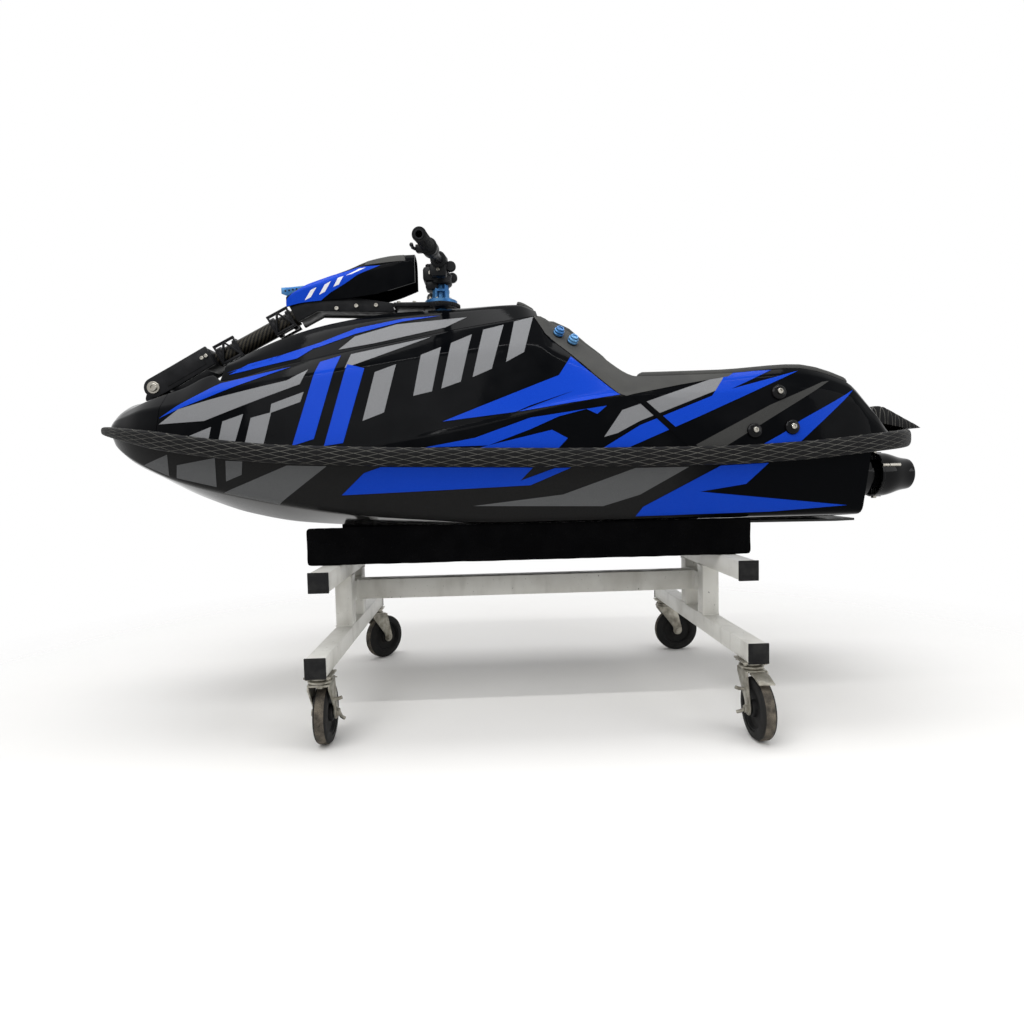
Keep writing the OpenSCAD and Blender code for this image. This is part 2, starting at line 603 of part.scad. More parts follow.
module steering_stem() color(blue) translate([steer_x, 0, plate_z]) {
    translate([0, 0, -plate_t - 6]) cylinder(r = 12, h = plate_t + 10);
    translate([0, 0, -plate_t - 6]) cylinder(r = 18, h = 5);
    translate([0, 0, fit_gap]) cylinder(r = 44, h = 10);
    translate([0, 0, 10]) cylinder(r1 = 26, r2 = 20, h = bar_z - bar_r - 6 - plate_z - 10);
}

module bar_clamp() color(black) translate([steer_x, 0, bar_z]) difference() {
    translate([-22, -36, -bar_r - 6]) cube([44, 72, 2 * bar_r + 12]);
    rotate([90, 0, 0]) cylinder(r = bar_r + 0.05, h = 80, center = true);
}

bend_y = 70;
bar_arm = (bar_half - bend_y) / (cos(bar_droop) * cos(bar_sweep));
// Frame of one side of the bar, its Z axis along the arm from the bend.
module bar_side(s) translate([steer_x, s * bend_y, bar_z]) rotate([0, 0, s * bar_sweep])
    rotate([s * -bar_droop, 0, 0]) rotate([s * -90, 0, 0]) children();
// Direction of an arm of the bar, and points around the bar at a place, square to a direction.
bar_sides = 40;
function bar_way(s) = [-sin(bar_sweep) * cos(bar_droop), s * cos(bar_sweep) * cos(bar_droop), -sin(bar_droop)];
function bar_ring(p, way) = let (u = unit(cross([0, 0, 1], way)), v = cross(way, u))
    [for (i = [0:bar_sides - 1]) let (a = 360 * i / bar_sides) p + bar_r * (cos(a) * u + sin(a) * v)];
function bar_bend(s) = [steer_x, s * bend_y, bar_z];
module handlebar() color(silver) difference() {
    ring_loft([bar_ring(bar_bend(-1) + bar_arm * bar_way(-1), -bar_way(-1)),
        bar_ring(bar_bend(-1), unit([0, 1, 0] - bar_way(-1))),
        bar_ring(bar_bend(1), unit([0, 1, 0] + bar_way(1))),
        bar_ring(bar_bend(1) + bar_arm * bar_way(1), bar_way(1))]);
    for (s = [1, -1]) bar_side(s) translate([0, 0, 10]) cylinder(r = bar_r - bar_wall, h = bar_arm);
}

module grips() color(black) for (s = [1, -1]) bar_side(s) translate([0, 0, bar_arm - grip_len]) difference() {
    cylinder(r = grip_r, h = grip_len - 2);
    translate([0, 0, -1]) cylinder(r = bar_r + 0.05, h = grip_len + 2);
}

// Switch housing on the left and throttle housing with its lever on the right.
module controls() color(black) for (s = [1, -1]) bar_side(s) translate([0, 0, bar_arm - grip_len - 44])
    difference() {
        union() {
            cylinder(r = 20, h = 40);
            translate([-34, -9, 6]) cube([30, 18, 26]);
            translate([-40, -4, 12]) cube([8, 8, s > 0 ? 110 : 60]);
        }
        translate([0, 0, -1]) cylinder(r = bar_r + 0.05, h = 50);
    }

// Impeller with its shaft, from the back of the engine to the stator.
impeller_x = transom_x - 120;
impeller_len = 70;
module impeller() color(silver) translate([0, 0, pump_z]) rotate([0, 90, 0]) {
    translate([0, 0, engine_x1 + fit_gap])
        cylinder(r = shaft_r, h = stator_x + stator_len - engine_x1 - fit_gap);
    translate([0, 0, impeller_x]) cylinder(r = 26, h = impeller_len);
    for (i = [0:impeller_blades - 1]) rotate([0, 0, 360 * i / impeller_blades])
        translate([20, 0, impeller_x + impeller_len / 2]) rotate([30, 0, 0]) translate([0, -2.5, -26])
            cube([pump_bore_r - 25, 5, 52]);
}

// Bell that steers the jet, on two upright pins.
nozzle_pivot_x = 1008;
nozzle_x0 = nozzle_pivot_x - 12;
bell_r = 58;
outlet_len = 26;
module steering_nozzle() color(black) translate([0, 0, pump_z]) difference() {
    rotate([0, 90, 0]) rotate_extrude() polygon([[bell_r, nozzle_x0], [bell_r + nozzle_wall, nozzle_x0],
        [bell_r + nozzle_wall, nozzle_x0 + 26], [outlet_r + nozzle_wall, nozzle_end_x - outlet_len],
        [outlet_r + nozzle_wall, nozzle_end_x], [outlet_r, nozzle_end_x], [outlet_r, nozzle_end_x - outlet_len],
        [bell_r, nozzle_x0 + 26]]);
    translate([nozzle_pivot_x, 0, 0]) cylinder(r = pivot_pin_r + fit_gap, h = 200, center = true);
}

frame_x = [stand_x - frame_gap / 2, stand_x + frame_gap / 2];
foot_mid_z = foot_z + tube / 2;
arm_mid_z = arm_z + tube / 2;
cap_t = 3;
cap_over = 1.2;

module foot_beams() color(paint) for (x = frame_x) translate([x, 0, foot_mid_z]) square_tube(foot_len);
module arms() color(paint) for (x = frame_x) translate([x, 0, arm_mid_z]) square_tube(arm_len);
module posts() color(paint) for (x = frame_x, s = [-1, 1])
    translate([x, s * post_gap / 2, (foot_z + tube + arm_z) / 2]) rotate([90, 0, 0])
        square_tube(arm_z - foot_z - tube);
module spine() color(paint) {
    translate([stand_x, 0, spine_z + spine_h / 2]) rotate([0, 0, 90]) square_tube(frame_gap - tube, spine_h);
    for (x = frame_x) translate([x, 0, spine_z + spine_h / 2]) square_tube(post_gap - tube, spine_h);
}
module end_caps() color(black) for (x = frame_x, s = [-1, 1], p = [[foot_len, foot_mid_z], [arm_len, arm_mid_z]])
    translate([x, s * (p[0] / 2 + cap_t / 2), p[1]]) cube([tube + 2 * cap_over, cap_t, tube + 2 * cap_over],
        center = true);

// Bunk boards under the two flat sides of the hull bottom.
bunk_top = function(y) keel_z + (chine_z - keel_z) * y / chine_y - 0.3;
module bunks() color("#0c0c0d") for (s = [-1, 1]) translate([stand_x - bunk_len / 2, 0, 0]) rotate([90, 0, 90])
    linear_extrude(bunk_len) polygon([for (q = [[bunk_y - bunk_w / 2, arm_z + tube],
        [bunk_y + bunk_w / 2, arm_z + tube], [bunk_y + bunk_w / 2, bunk_top(bunk_y + bunk_w / 2) ],
        [bunk_y - bunk_w / 2, bunk_top(bunk_y - bunk_w / 2)]]) [s * q[0], q[1]]]);

// Casters in the order left bow, left stern, right bow, right stern.
// Columns: end frame, side, turn of the trail.
CASTERS = [[0, -1, 90], [1, -1, -90], [0, 1, 50], [1, 1, 0]];
function caster_at(i) = [frame_x[CASTERS[i][0]], CASTERS[i][1] * (foot_len / 2 - caster_inset), 0];
plate_thick = 4;
king_r = 8;
axle_r = 6;
head_top = foot_z - plate_thick - fit_gap;
leg_gap = wheel_w + 10;
leg_t = 4;
crown_z = 2 * wheel_r + 8;

module caster_plates() color(silver) for (i = [0:3]) translate(caster_at(i)) {
    translate([-30, -30, foot_z - plate_thick]) cube([60, 60, plate_thick]);
    translate([0, 0, crown_z - 6]) cylinder(r = king_r, h = foot_z - crown_z + 4);
}

module fork(i) color(silver) translate(caster_at(i)) rotate([0, 0, CASTERS[i][2]]) difference() {
    union() {
        translate([0, 0, crown_z]) cylinder(r = 26, h = head_top - crown_z);
        translate([-26, -leg_gap / 2 - leg_t, crown_z]) cube([26 + 34, leg_gap + 2 * leg_t, 5]);
        for (s = [-1, 1]) translate([0, s * (leg_gap + leg_t) / 2, 0]) rotate([90, 0, 0])
            linear_extrude(leg_t, center = true) union() {
                translate([trail, wheel_r]) circle(r = 15);
                polygon([[-22, crown_z + 5], [34, crown_z + 5], [trail + 15, wheel_r],
                    [trail - 13, wheel_r - 4]]);
            }
        translate([trail, 0, wheel_r]) rotate([90, 0, 0])
            cylinder(r = axle_r, h = leg_gap + 2 * leg_t + 12, center = true);
    }
    cylinder(r = king_r + fit_gap, h = 300);
}

module wheel(i) color("#1c1c1c") translate(caster_at(i)) rotate([0, 0, CASTERS[i][2]])
    translate([trail, 0, wheel_r]) rotate([90, 0, 0]) rotate_extrude() {
        polygon([[axle_r + fit_gap, -18], [20, -18], [24, -8], [46, -8], [50, -wheel_w / 2],
            [wheel_r - 5, -wheel_w / 2],
            [wheel_r, -wheel_w / 2 + 7], [wheel_r, wheel_w / 2 - 7], [wheel_r - 5, wheel_w / 2], [50, wheel_w / 2],
            [46, 8], [24, 8], [20, 18], [axle_r + fit_gap, 18]]);
    }

hull();
deck();
bow_deck();
hood();
bumper();
tail_pad();
slope_pad();
rail_pads();
tray_mat();
pole_bracket();
pole_pin();
engine();
pump_housing();
intake_grate();
ride_plate();
primer_fittings();
pole_yoke();
pole_arm();
pole_tube();
pole_trusses();
pole_cover();
steering_plate();
pole_blade();
steering_stem();
bar_clamp();
handlebar();
grips();
controls();
impeller();
steering_nozzle();
foot_beams();
arms();
posts();
spine();
end_caps();
bunks();
caster_plates();
fork(0);  // fork_1
fork(1);  // fork_2
fork(2);  // fork_3
fork(3);  // fork_4
wheel(0);  // wheel_1
wheel(1);  // wheel_2
wheel(2);  // wheel_3
wheel(3);  // wheel_4
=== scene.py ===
"""Looks of a stand-up personal watercraft on its wheeled stand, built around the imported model."""
import json
import math

import bmesh
import bpy
from mathutils import Matrix, Vector, noise
from mathutils.geometry import tessellate_polygon


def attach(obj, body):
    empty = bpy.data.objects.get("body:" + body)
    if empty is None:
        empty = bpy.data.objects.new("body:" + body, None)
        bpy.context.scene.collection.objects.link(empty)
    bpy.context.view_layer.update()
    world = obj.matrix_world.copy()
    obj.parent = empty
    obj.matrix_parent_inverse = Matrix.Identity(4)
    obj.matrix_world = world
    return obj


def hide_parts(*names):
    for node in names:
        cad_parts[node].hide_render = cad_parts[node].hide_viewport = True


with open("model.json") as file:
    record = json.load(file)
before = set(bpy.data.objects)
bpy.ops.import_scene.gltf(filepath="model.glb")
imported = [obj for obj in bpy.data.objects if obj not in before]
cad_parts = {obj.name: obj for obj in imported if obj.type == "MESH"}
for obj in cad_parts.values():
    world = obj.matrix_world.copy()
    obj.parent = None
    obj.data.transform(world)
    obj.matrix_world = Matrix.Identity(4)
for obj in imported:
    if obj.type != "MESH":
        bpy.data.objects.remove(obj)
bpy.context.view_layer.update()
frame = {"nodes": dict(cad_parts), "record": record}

MM = 0.001

# Hull sections from bow to transom, in millimetres.
# Columns: place, keel height, chine half width and height, bond line half width and height.
HULL = [
    [-1096, 724, 8, 734, 14, 749],
    [-1055, 668, 66, 700, 92, 740],
    [-961, 614, 136, 650, 168, 722],
    [-859, 560, 172, 610, 217, 703],
    [-734, 513, 200, 578, 255, 684],
    [-598, 486, 218, 549, 283, 668],
    [-440, 475, 230, 522, 299, 659],
    [-260, 470, 238, 504, 308, 652],
    [-60, 468, 240, 490, 312, 647],
    [120, 468, 240, 490, 313, 643],
    [450, 468, 240, 490, 308, 641],
    [650, 468, 240, 490, 298, 648],
    [836, 468, 236, 490, 280, 664]]
# Bond line behind the transom: place, half width, height.
TAIL = [[836, 280, 664], [900, 254, 670], [948, 214, 675], [978, 172, 679], [1010, 116, 682]]
# Deck sections from bow to tail: place, then half width and height of the side crease, the step above it, the
# upper crease, the outer top edge, the inner top edge and the floor edge, and last the middle height.
DECK = [
    [-1088, 22, 755, 21, 757, 18, 761, 15, 764, 11, 766, 5, 767, 767],
    [-1060, 78, 753, 76, 757, 66, 767, 52, 777, 40, 786, 20, 797, 800],
    [-1010, 124, 746, 122, 750, 108, 775, 84, 794, 68, 803, 34, 816, 819],
    [-946, 170, 734, 168, 741, 150, 786, 112, 815, 98, 818, 50, 821, 821],
    [-853, 213, 720, 211, 727, 188, 792, 132, 841, 118, 843, 60, 824, 822],
    [-769, 241, 706, 239, 713, 212, 808, 146, 872, 128, 868, 60, 856, 854],
    [-740, 248, 704, 246, 711, 218, 818, 176, 853, 150, 846, 75, 846, 846],
    [-597, 279, 690, 276, 697, 234, 842, 186, 884, 160, 868, 80, 868, 868],
    [-440, 293, 676, 290, 683, 240, 862, 190, 917, 164, 896, 82, 896, 896],
    [-300, 298, 690, 293, 700, 240, 884, 192, 942, 166, 920, 83, 920, 920],
    [-150, 301, 714, 293, 724, 240, 904, 193, 970, 168, 946, 84, 946, 946],
    [-20, 301, 742, 286, 753, 240, 914, 193, 990, 168, 966, 84, 966, 966],
    [40, 300, 755, 282, 766, 240, 908, 190, 998, 170, 974, 85, 974, 974],
    [84, 299, 764, 280, 776, 241, 890, 158, 982, 140, 984, 70, 984, 984],
    [180, 294, 780, 276, 790, 246, 850, 186, 908, 164, 911, 82, 908, 906],
    [277, 290, 786, 280, 796, 262, 816, 242, 836, 198, 838, 178, 832, 830],
    [470, 286, 764, 280, 790, 264, 822, 250, 838, 200, 840, 180, 700, 694],
    [660, 280, 770, 274, 800, 258, 834, 244, 850, 196, 849, 178, 700, 696],
    [790, 268, 762, 262, 778, 250, 802, 236, 818, 190, 817, 174, 704, 702],
    [858, 261, 704, 257, 716, 247, 738, 234, 750, 188, 748, 172, 716, 716],
    [914, 236, 680, 232, 684, 226, 690, 214, 696, 180, 698, 160, 718, 718],
    [966, 182, 682, 178, 686, 172, 690, 164, 692, 146, 694, 110, 702, 704],
    [1010, 111, 688, 108, 691, 104, 694, 97, 696, 80, 697, 46, 698, 698]]
# Hood sections above the seam: place, half width and height of the top edge and the shoulder, middle height.
HOOD = [
    [-738, 142, 893, 108, 912, 926],
    [-597, 140, 936, 108, 970, 998],
    [-477, 138, 974, 108, 1004, 1022],
    [-322, 140, 1004, 110, 1028, 1036],
    [-150, 140, 1024, 112, 1036, 1042],
    [-4, 138, 1036, 112, 1043, 1046],
    [40, 140, 1020, 112, 1024, 1026]]
# Pole and steering.
PIVOT = Vector((-958, 0, 855))
PLATE_Z = 1072
POLE_REACH = 470
KNEE_Z = PLATE_Z + 1
RISE = math.degrees(math.asin((KNEE_Z - PIVOT.z) / POLE_REACH))
KNEE_X = PIVOT.x + POLE_REACH * math.cos(math.radians(RISE))
STEER_X = KNEE_X + 336
BAR_Z = PLATE_Z + 100
# Pole cover sections: place behind the knee, skirt and top heights above the steering plate, half width.
COVER = [[KNEE_X + back, PLATE_Z + low, PLATE_Z + high, half] for back, low, high, half in [
    [-69, -10, 26, 44.3],
    [-29, 0, 50, 44.3],
    [31, 6, 72, 44.3],
    [91, 10, 92, 47],
    [151, 16, 114, 54],
    [211, 30, 126, 54],
    [271, 50, 131, 46]]]
WALL = 7
HOOD_WALL = 5
COVER_WALL = 4
BOW_SEAM_X = -890
TRANSOM_X = 836
TAIL_X = 1010
DECK_ROUND = 0.15
HULL_ROUND = 0.12
HOOD_ROUND = 0.2
PUMP_Z = 584
PUMP_CLEAR_R = 78


# Shapes from the tables.

def table_at(table, x, column):
    """Smooth value of one column of a table at a place, with no overshoot."""
    i = max(0, min(len(table) - 2, sum(1 for row in table if row[0] <= x) - 1))

    def secant(k):
        return (table[k + 1][column] - table[k][column]) / (table[k + 1][0] - table[k][0])

    def slope(k):
        if k == 0:
            return secant(0)
        if k == len(table) - 1:
            return secant(k - 1)
        a, b = secant(k - 1), secant(k)
        return 0.0 if a * b <= 0 else 2 * a * b / (a + b)

    span = table[i + 1][0] - table[i][0]
    u = min(1.0, max(0.0, (x - table[i][0]) / span))
    return ((2 * u ** 3 - 3 * u ** 2 + 1) * table[i][column] + (u ** 3 - 2 * u ** 2 + u) * span * slope(i)
            + (3 * u ** 2 - 2 * u ** 3) * table[i + 1][column] + (u ** 3 - u ** 2) * span * slope(i + 1))


def bond(x):
    """Half width and height of the line where hull and deck meet."""
    if x <= TRANSOM_X:
        return table_at(HULL, x, 4), table_at(HULL, x, 5)
    return table_at(TAIL, x, 1), table_at(TAIL, x, 2)


def hull_half(x):
    return [bond(x), (table_at(HULL, x, 2), table_at(HULL, x, 3)), (0.0, table_at(HULL, x, 1))]


def deck_half(x):
    row = [table_at(DECK, x, c) for c in range(1, 14)]
    return [bond(x)] + [(row[i], row[i + 1]) for i in range(0, 12, 2)] + [(0.0, row[12])]


def rim(x):
    """Edge of the deck that the hood sits on."""
    return tuple(table_at(DECK, x, a) * (1 - DECK_ROUND) + table_at(DECK, x, b) * DECK_ROUND
                 for a, b in ((7, 9), (8, 10)))


def hood_half(x):
    seam = rim(x)
    return [(seam[0] + HOOD_WALL, seam[1] + 0.4), (table_at(HOOD, x, 1), table_at(HOOD, x, 2)),
            (table_at(HOOD, x, 3), table_at(HOOD, x, 4)), (0.0, table_at(HOOD, x, 5))]


def cover_half(x):
    b, t, w = (table_at(COVER, x, c) for c in (1, 2, 3))
    return [(w, b), (w, 0.6 * b + 0.4 * t), (w, 0.3 * b + 0.7 * t), (0.72 * w, t - 4), (0.0, t)]


def mirrored(half):
    """A half outline from the left over the middle to its mirror image on the right."""
    return [(-y, z) for y, z in half] + [(y, z) for y, z in reversed(half[:-1])]


def inset(run, wall):
    """The same run set inwards by a wall, with its ends moved level."""
    out = []
    for i, (y, z) in enumerate(run):
        if i in (0, len(run) - 1):
            out.append((y - math.copysign(wall, y), z))
            continue
        a = (Vector(run[i]) - Vector(run[i - 1])).normalized()
        b = (Vector(run[i + 1]) - Vector(run[i])).normalized()
        na, nb = Vector((a.y, -a.x)), Vector((b.y, -b.x))
        middle = (na + nb).normalized()
        out.append(tuple(Vector((y, z)) + middle * wall / max(0.6, middle.dot(na))))
    return out


def soft(run, share, steps=4):
    """A run with each inner corner rounded over a share of its sides."""
    out = [run[0]]
    for a, p, b in zip(run, run[1:], run[2:]):
        start = [u + (v - u) * share for u, v in zip(p, a)]
        end = [u + (v - u) * share for u, v in zip(p, b)]
        for i in range(steps + 1):
            t = i / steps
            out.append(tuple((1 - t) ** 2 * u + 2 * t * (1 - t) * v + t * t * w
                             for u, v, w in zip(start, p, end)))
    out.append(run[-1])
    return out


def spread(start, end, count):
    return [start + (end - start) * i / count for i in range(count + 1)]


def arc(x, y, r, start, end, steps=12):
    """Points on an arc, angles in degrees."""
    return [(x + r * math.cos(math.radians(a)), y + r * math.sin(math.radians(a)))
            for a in spread(start, end, steps)]


def widest(run, z):
    """Largest half width that a half outline has at a height."""
    found = [y0 + (y1 - y0) * (z - z0) / (z1 - z0) for (y0, z0), (y1, z1) in zip(run, run[1:])
             if (z0 - z) * (z1 - z) <= 0 and z0 != z1]
    return max(found) if found else 0.0


def on_deck_side(x, z, side):
    """Point on the deck's side and the direction straight out of it."""
    def point(px, pz):
        return Vector((px, side * widest(soft(deck_half(px), DECK_ROUND), pz), pz))
    along = point(x + 4, z) - point(x - 4, z)
    upward = point(x, z + 4) - point(x, z - 4)
    out = along.cross(upward).normalized()
    return point(x, z), out if out.y * side > 0 else -out


# Mesh helpers. All lengths given to them are in millimetres. Points closer than SAME are one point, and edges
# that turn by more than SHARP, in radians, are bevelled.

SAME = 1e-4
SHARP = 0.5


def mesh_object(name, bm, angle=30, outward=True):
    """A new object from a mesh in millimetres, smooth with sharp edges past an angle."""
    if outward:
        bmesh.ops.recalc_face_normals(bm, faces=bm.faces[:])
    bmesh.ops.scale(bm, vec=(MM, MM, MM), verts=bm.verts[:])
    mesh = bpy.data.meshes.new(name)
    bm.to_mesh(mesh)
    bm.free()
    mesh.shade_smooth()
    mesh.set_sharp_from_angle(angle=math.radians(angle))
    obj = bpy.data.objects.new(name, mesh)
    bpy.context.scene.collection.objects.link(obj)
    return obj


def pour(bm, into):
    """Move a mesh into another one."""
    mesh = bpy.data.meshes.new("poured")
    bm.to_mesh(mesh)
    bm.free()
    into.from_mesh(mesh)
    bpy.data.meshes.remove(mesh)


def grid_mesh(rows, closed=False, ends=False):
    """A sheet of quads through a grid of points, with rows closed to rings and end rows filled if asked."""
    bm = bmesh.new()
    grid = [[bm.verts.new(p) for p in row] for row in rows]
    columns = len(rows[0])
    for a, b in zip(grid, grid[1:]):
        for j in range(columns if closed else columns - 1):
            k = (j + 1) % columns
            bm.faces.new((a[j], b[j], b[k], a[k]))
    for row in (grid[0], grid[-1]) if ends else ():
        bm.faces.new(row)
    return bm


def shell_mesh(outer, inner):
    """A closed sheet between two grids of points that match."""
    bm = bmesh.new()
    grids = [[[bm.verts.new(p) for p in row] for row in rows] for rows in (outer, inner)]
    n, m = len(outer), len(outer[0])
    for grid in grids:
        for i in range(n - 1):
            for j in range(m - 1):
                bm.faces.new((grid[i][j], grid[i + 1][j], grid[i + 1][j + 1], grid[i][j + 1]))
    o, s = grids
    for i in range(n - 1):
        for j in (0, m - 1):
            bm.faces.new((o[i][j], o[i + 1][j], s[i + 1][j], s[i][j]))
    for j in range(m - 1):
        for i in (0, n - 1):
            bm.faces.new((o[i][j], o[i][j + 1], s[i][j + 1], s[i][j]))
    return bm


def placed(x, run):
    return [(x, y, z) for y, z in run]


def move(x=0.0, y=0.0, z=0.0, turn=0.0, axis="Z"):
    return Matrix.Translation((x, y, z)) @ Matrix.Rotation(math.radians(turn), 4, axis)


def facing(point, direction):
    """Frame at a point whose Z axis runs along a direction."""
    turn = Vector((0, 0, 1)).rotation_difference(Vector(direction))
    return Matrix.Translation(point) @ turn.to_matrix().to_4x4()


def ring_angles(sides):
    return [2 * math.pi * k / sides for k in range(sides)]


class Piece:
    """One piece, joined from simple solids in millimetres."""

    def __init__(self, name):
        self.name = name
        self.bm = bmesh.new()

    def take(self, bm, matrix=None, bevel=0.0, finish=0):
        bmesh.ops.recalc_face_normals(bm, faces=bm.faces[:])
        if bevel:
            edges = [e for e in bm.edges if len(e.link_faces) == 2 and e.calc_face_angle(0.0) > SHARP]
            bmesh.ops.bevel(bm, geom=edges, offset=bevel, segments=2, affect="EDGES", profile=0.5)
        for face in bm.faces:
            face.material_index = finish
        if matrix is not None:
            bm.transform(matrix)
        pour(bm, self.bm)

    def box(self, size, matrix, bevel, finish=0):
        bm = bmesh.new()
        bmesh.ops.create_cube(bm, size=1.0)
        bmesh.ops.scale(bm, vec=size, verts=bm.verts[:])
        self.take(bm, matrix, bevel, finish)

    def prism(self, outline, thickness, matrix, bevel):
        """A flat outline in X and Y, given a thickness along Z on both sides of it."""
        bm = bmesh.new()
        low, high = ([bm.verts.new((x, y, z)) for x, y in outline] for z in (-thickness / 2, thickness / 2))
        bm.faces.new(low)
        bm.faces.new(high)
        for corners in zip(low, low[1:] + low[:1], high[1:] + high[:1], high):
            bm.faces.new(corners)
        self.take(bm, matrix, bevel)

    def lathe(self, profile, matrix, sides=48, finish=0):
        """Radii and heights turned about Z. A profile that starts off the axis closes to a ring."""
        rows = [[(r * math.cos(a), r * math.sin(a), z) for a in ring_angles(sides)] for r, z in profile]
        bm = grid_mesh(rows + rows[:1] if profile[0][0] > 0 else rows, closed=True)
        bmesh.ops.remove_doubles(bm, verts=bm.verts[:], dist=SAME)
        self.take(bm, matrix, 0.0, finish)

    def sweep(self, path, radius, sides=12, finish=0):
        """A round tube with closed ends along a path of points."""
        points = [Vector(p) for p in path]
        rows = []
        side = None
        for i, p in enumerate(points):
            ahead = (points[min(i + 1, len(points) - 1)] - points[max(i - 1, 0)]).normalized()
            if side is None:
                side = ahead.orthogonal().normalized()
            side = (side - ahead * side.dot(ahead)).normalized()
            other = ahead.cross(side)
            rows.append([p + (side * math.cos(a) + other * math.sin(a)) * radius for a in ring_angles(sides)])
        self.take(grid_mesh(rows, closed=True, ends=True), finish=finish)

    def bolt(self, point, direction, radius, finish=0):
        """A socket head screw seen from outside."""
        top = 0.9 * radius
        socket = top - 0.4 * radius
        self.lathe([(0, 0), (radius, 0), (radius, top - 0.15 * radius), (0.85 * radius, top),
                    (0.55 * radius, top), (0.5 * radius, socket), (0, socket)],
                   facing(point, direction), 24, finish)

    def done(self, materials, body, slot, stands_for=(), angle=30):
        obj = mesh_object(self.name, self.bm, angle)
        return dress(obj, materials, body, stands_for)


def dress(obj, materials, body, stands_for=()):
    for material in materials:
        obj.data.materials.append(material)
    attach(obj, body)
    if stands_for:
        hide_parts(*stands_for)
    return obj


# Materials.

def rgb(code):
    """Linear colour from a hex code."""
    parts = [int(code[i:i + 2], 16) / 255 for i in (1, 3, 5)]
    return tuple(v / 12.92 if v <= 0.04045 else ((v + 0.055) / 1.055) ** 2.4 for v in parts) + (1.0,)


PLACE = "pattern_place"


class Nodes:
    """A node tree to fill."""

    def __init__(self, tree):
        self.nodes = tree.nodes
        self.links = tree.links

    def node(self, kind, inputs=(), **settings):
        made = self.nodes.new(kind)
        for key, value in settings.items():
            setattr(made, key, value)
        for key, value in dict(inputs).items():
            if isinstance(value, bpy.types.NodeSocket):
                self.links.new(value, made.inputs[key])
            else:
                made.inputs[key].default_value = value
        return made

    def math(self, operation, a, b):
        return self.node("ShaderNodeMath", {0: a, 1: b}, operation=operation).outputs[0]


class Finish(Nodes):
    """A node material around one principled shader. Its colours are hex codes or sockets."""

    def __init__(self, name, color, roughness, metallic=0.0, specular=0.5):
        self.material = bpy.data.materials.new(name)
        self.material.use_nodes = True
        super().__init__(self.material.node_tree)
        self.shader = self.nodes["Principled BSDF"]
        values = {"Base Color": rgb(color), "Roughness": roughness, "Metallic": metallic,
                  "Specular IOR Level": specular}
        for socket, value in values.items():
            self.shader.inputs[socket].default_value = value
        self.coordinates = self.nodes.new("ShaderNodeTexCoord").outputs["Object"]

    def noise(self, scale, detail, stretch=None):
        vector = self.coordinates
        if stretch:
            vector = self.node("ShaderNodeMapping", {"Vector": vector, "Scale": stretch}).outputs[0]
        inputs = {"Vector": vector, "Scale": scale, "Detail": detail}
        return self.node("ShaderNodeTexNoise", inputs).outputs[0]

    def places(self):
        """The parts of the pattern place that the mesh carries."""
        vector = self.node("ShaderNodeAttribute", attribute_name=PLACE).outputs["Vector"]
        return self.node("ShaderNodeSeparateXYZ", {0: vector}).outputs

    def band(self, value, low, high, out_low=0.0, out_high=1.0):
        """Value carried from one range to another, held at its ends."""
        inputs = {0: value, 1: low, 2: high, 3: out_low, 4: out_high}
        return self.node("ShaderNodeMapRange", inputs).outputs[0]

    def patches(self, scale, detail, low, high, out_low=0.0, out_high=1.0):
        """Noise carried from one range to another."""
        return self.band(self.noise(scale, detail), low, high, out_low, out_high)

    def mix(self, pattern, a, b, amount=None):
        """One colour, and another where the pattern is, by an amount if one is given."""
        factor = pattern if amount is None else self.math("MULTIPLY", pattern, amount)
        colors = [rgb(c) if isinstance(c, str) else c for c in (a, b)]
        made = self.node("ShaderNodeMix", {0: factor, 6: colors[0], 7: colors[1]}, data_type="RGBA")
        return made.outputs[2]

    def color(self, pattern, a, b, amount=None):
        self.links.new(self.mix(pattern, a, b, amount), self.shader.inputs["Base Color"])

    def rough(self, value):
        self.links.new(value, self.shader.inputs["Roughness"])

    def bump(self, height, distance, strength=1.0):
        made = self.node("ShaderNodeBump", {"Height": height, "Distance": distance, "Strength": strength})
        self.links.new(made.outputs[0], self.shader.inputs["Normal"])


def gelcoat(name, color, worn, specular):
    """Polished gelcoat with a faint orange peel and a film of dust."""
    f = Finish(name, color, 0.07, specular=specular)
    dust = f.patches(7.0, 6.0, 0.45, 0.75)
    f.color(dust, color, worn, 0.10)
    f.rough(f.band(dust, 0.0, 1.0, 0.06, 0.13))
    f.bump(f.noise(160.0, 1.0), 0.00006)
    return f.material


def hull_gelcoat():
    """Gelcoat of the hull, charcoal with fine flakes ahead and plain black at the stern."""
    f = Finish("gelcoat_hull", "#1d1d1d", 0.09, specular=0.02)
    along = f.node("ShaderNodeSeparateXYZ", {0: f.coordinates}).outputs[0]
    charcoal = f.mix(f.patches(1200.0, 1.0, 0.42, 0.66), "#1d1d1d", "#272727")
    f.color(f.band(along, 0.34, 0.46), charcoal, "#060709")
    f.rough(f.patches(7.0, 6.0, 0.45, 0.75, 0.07, 0.15))
    f.bump(f.noise(160.0, 1.0), 0.00006)
    return f.material


def vinyl(name, color, bright, roughness):
    """Printed film with fine flakes in it and soft scuffs."""
    f = Finish(name, color, roughness, specular=0.03)
    f.color(f.patches(1500.0, 1.0, 0.42, 0.66), color, bright, 0.55)
    f.rough(f.patches(9.0, 5.0, 0.35, 0.7, roughness * 0.8, roughness * 1.3))
    f.bump(f.noise(140.0, 1.0), 0.00005)
    return f.material


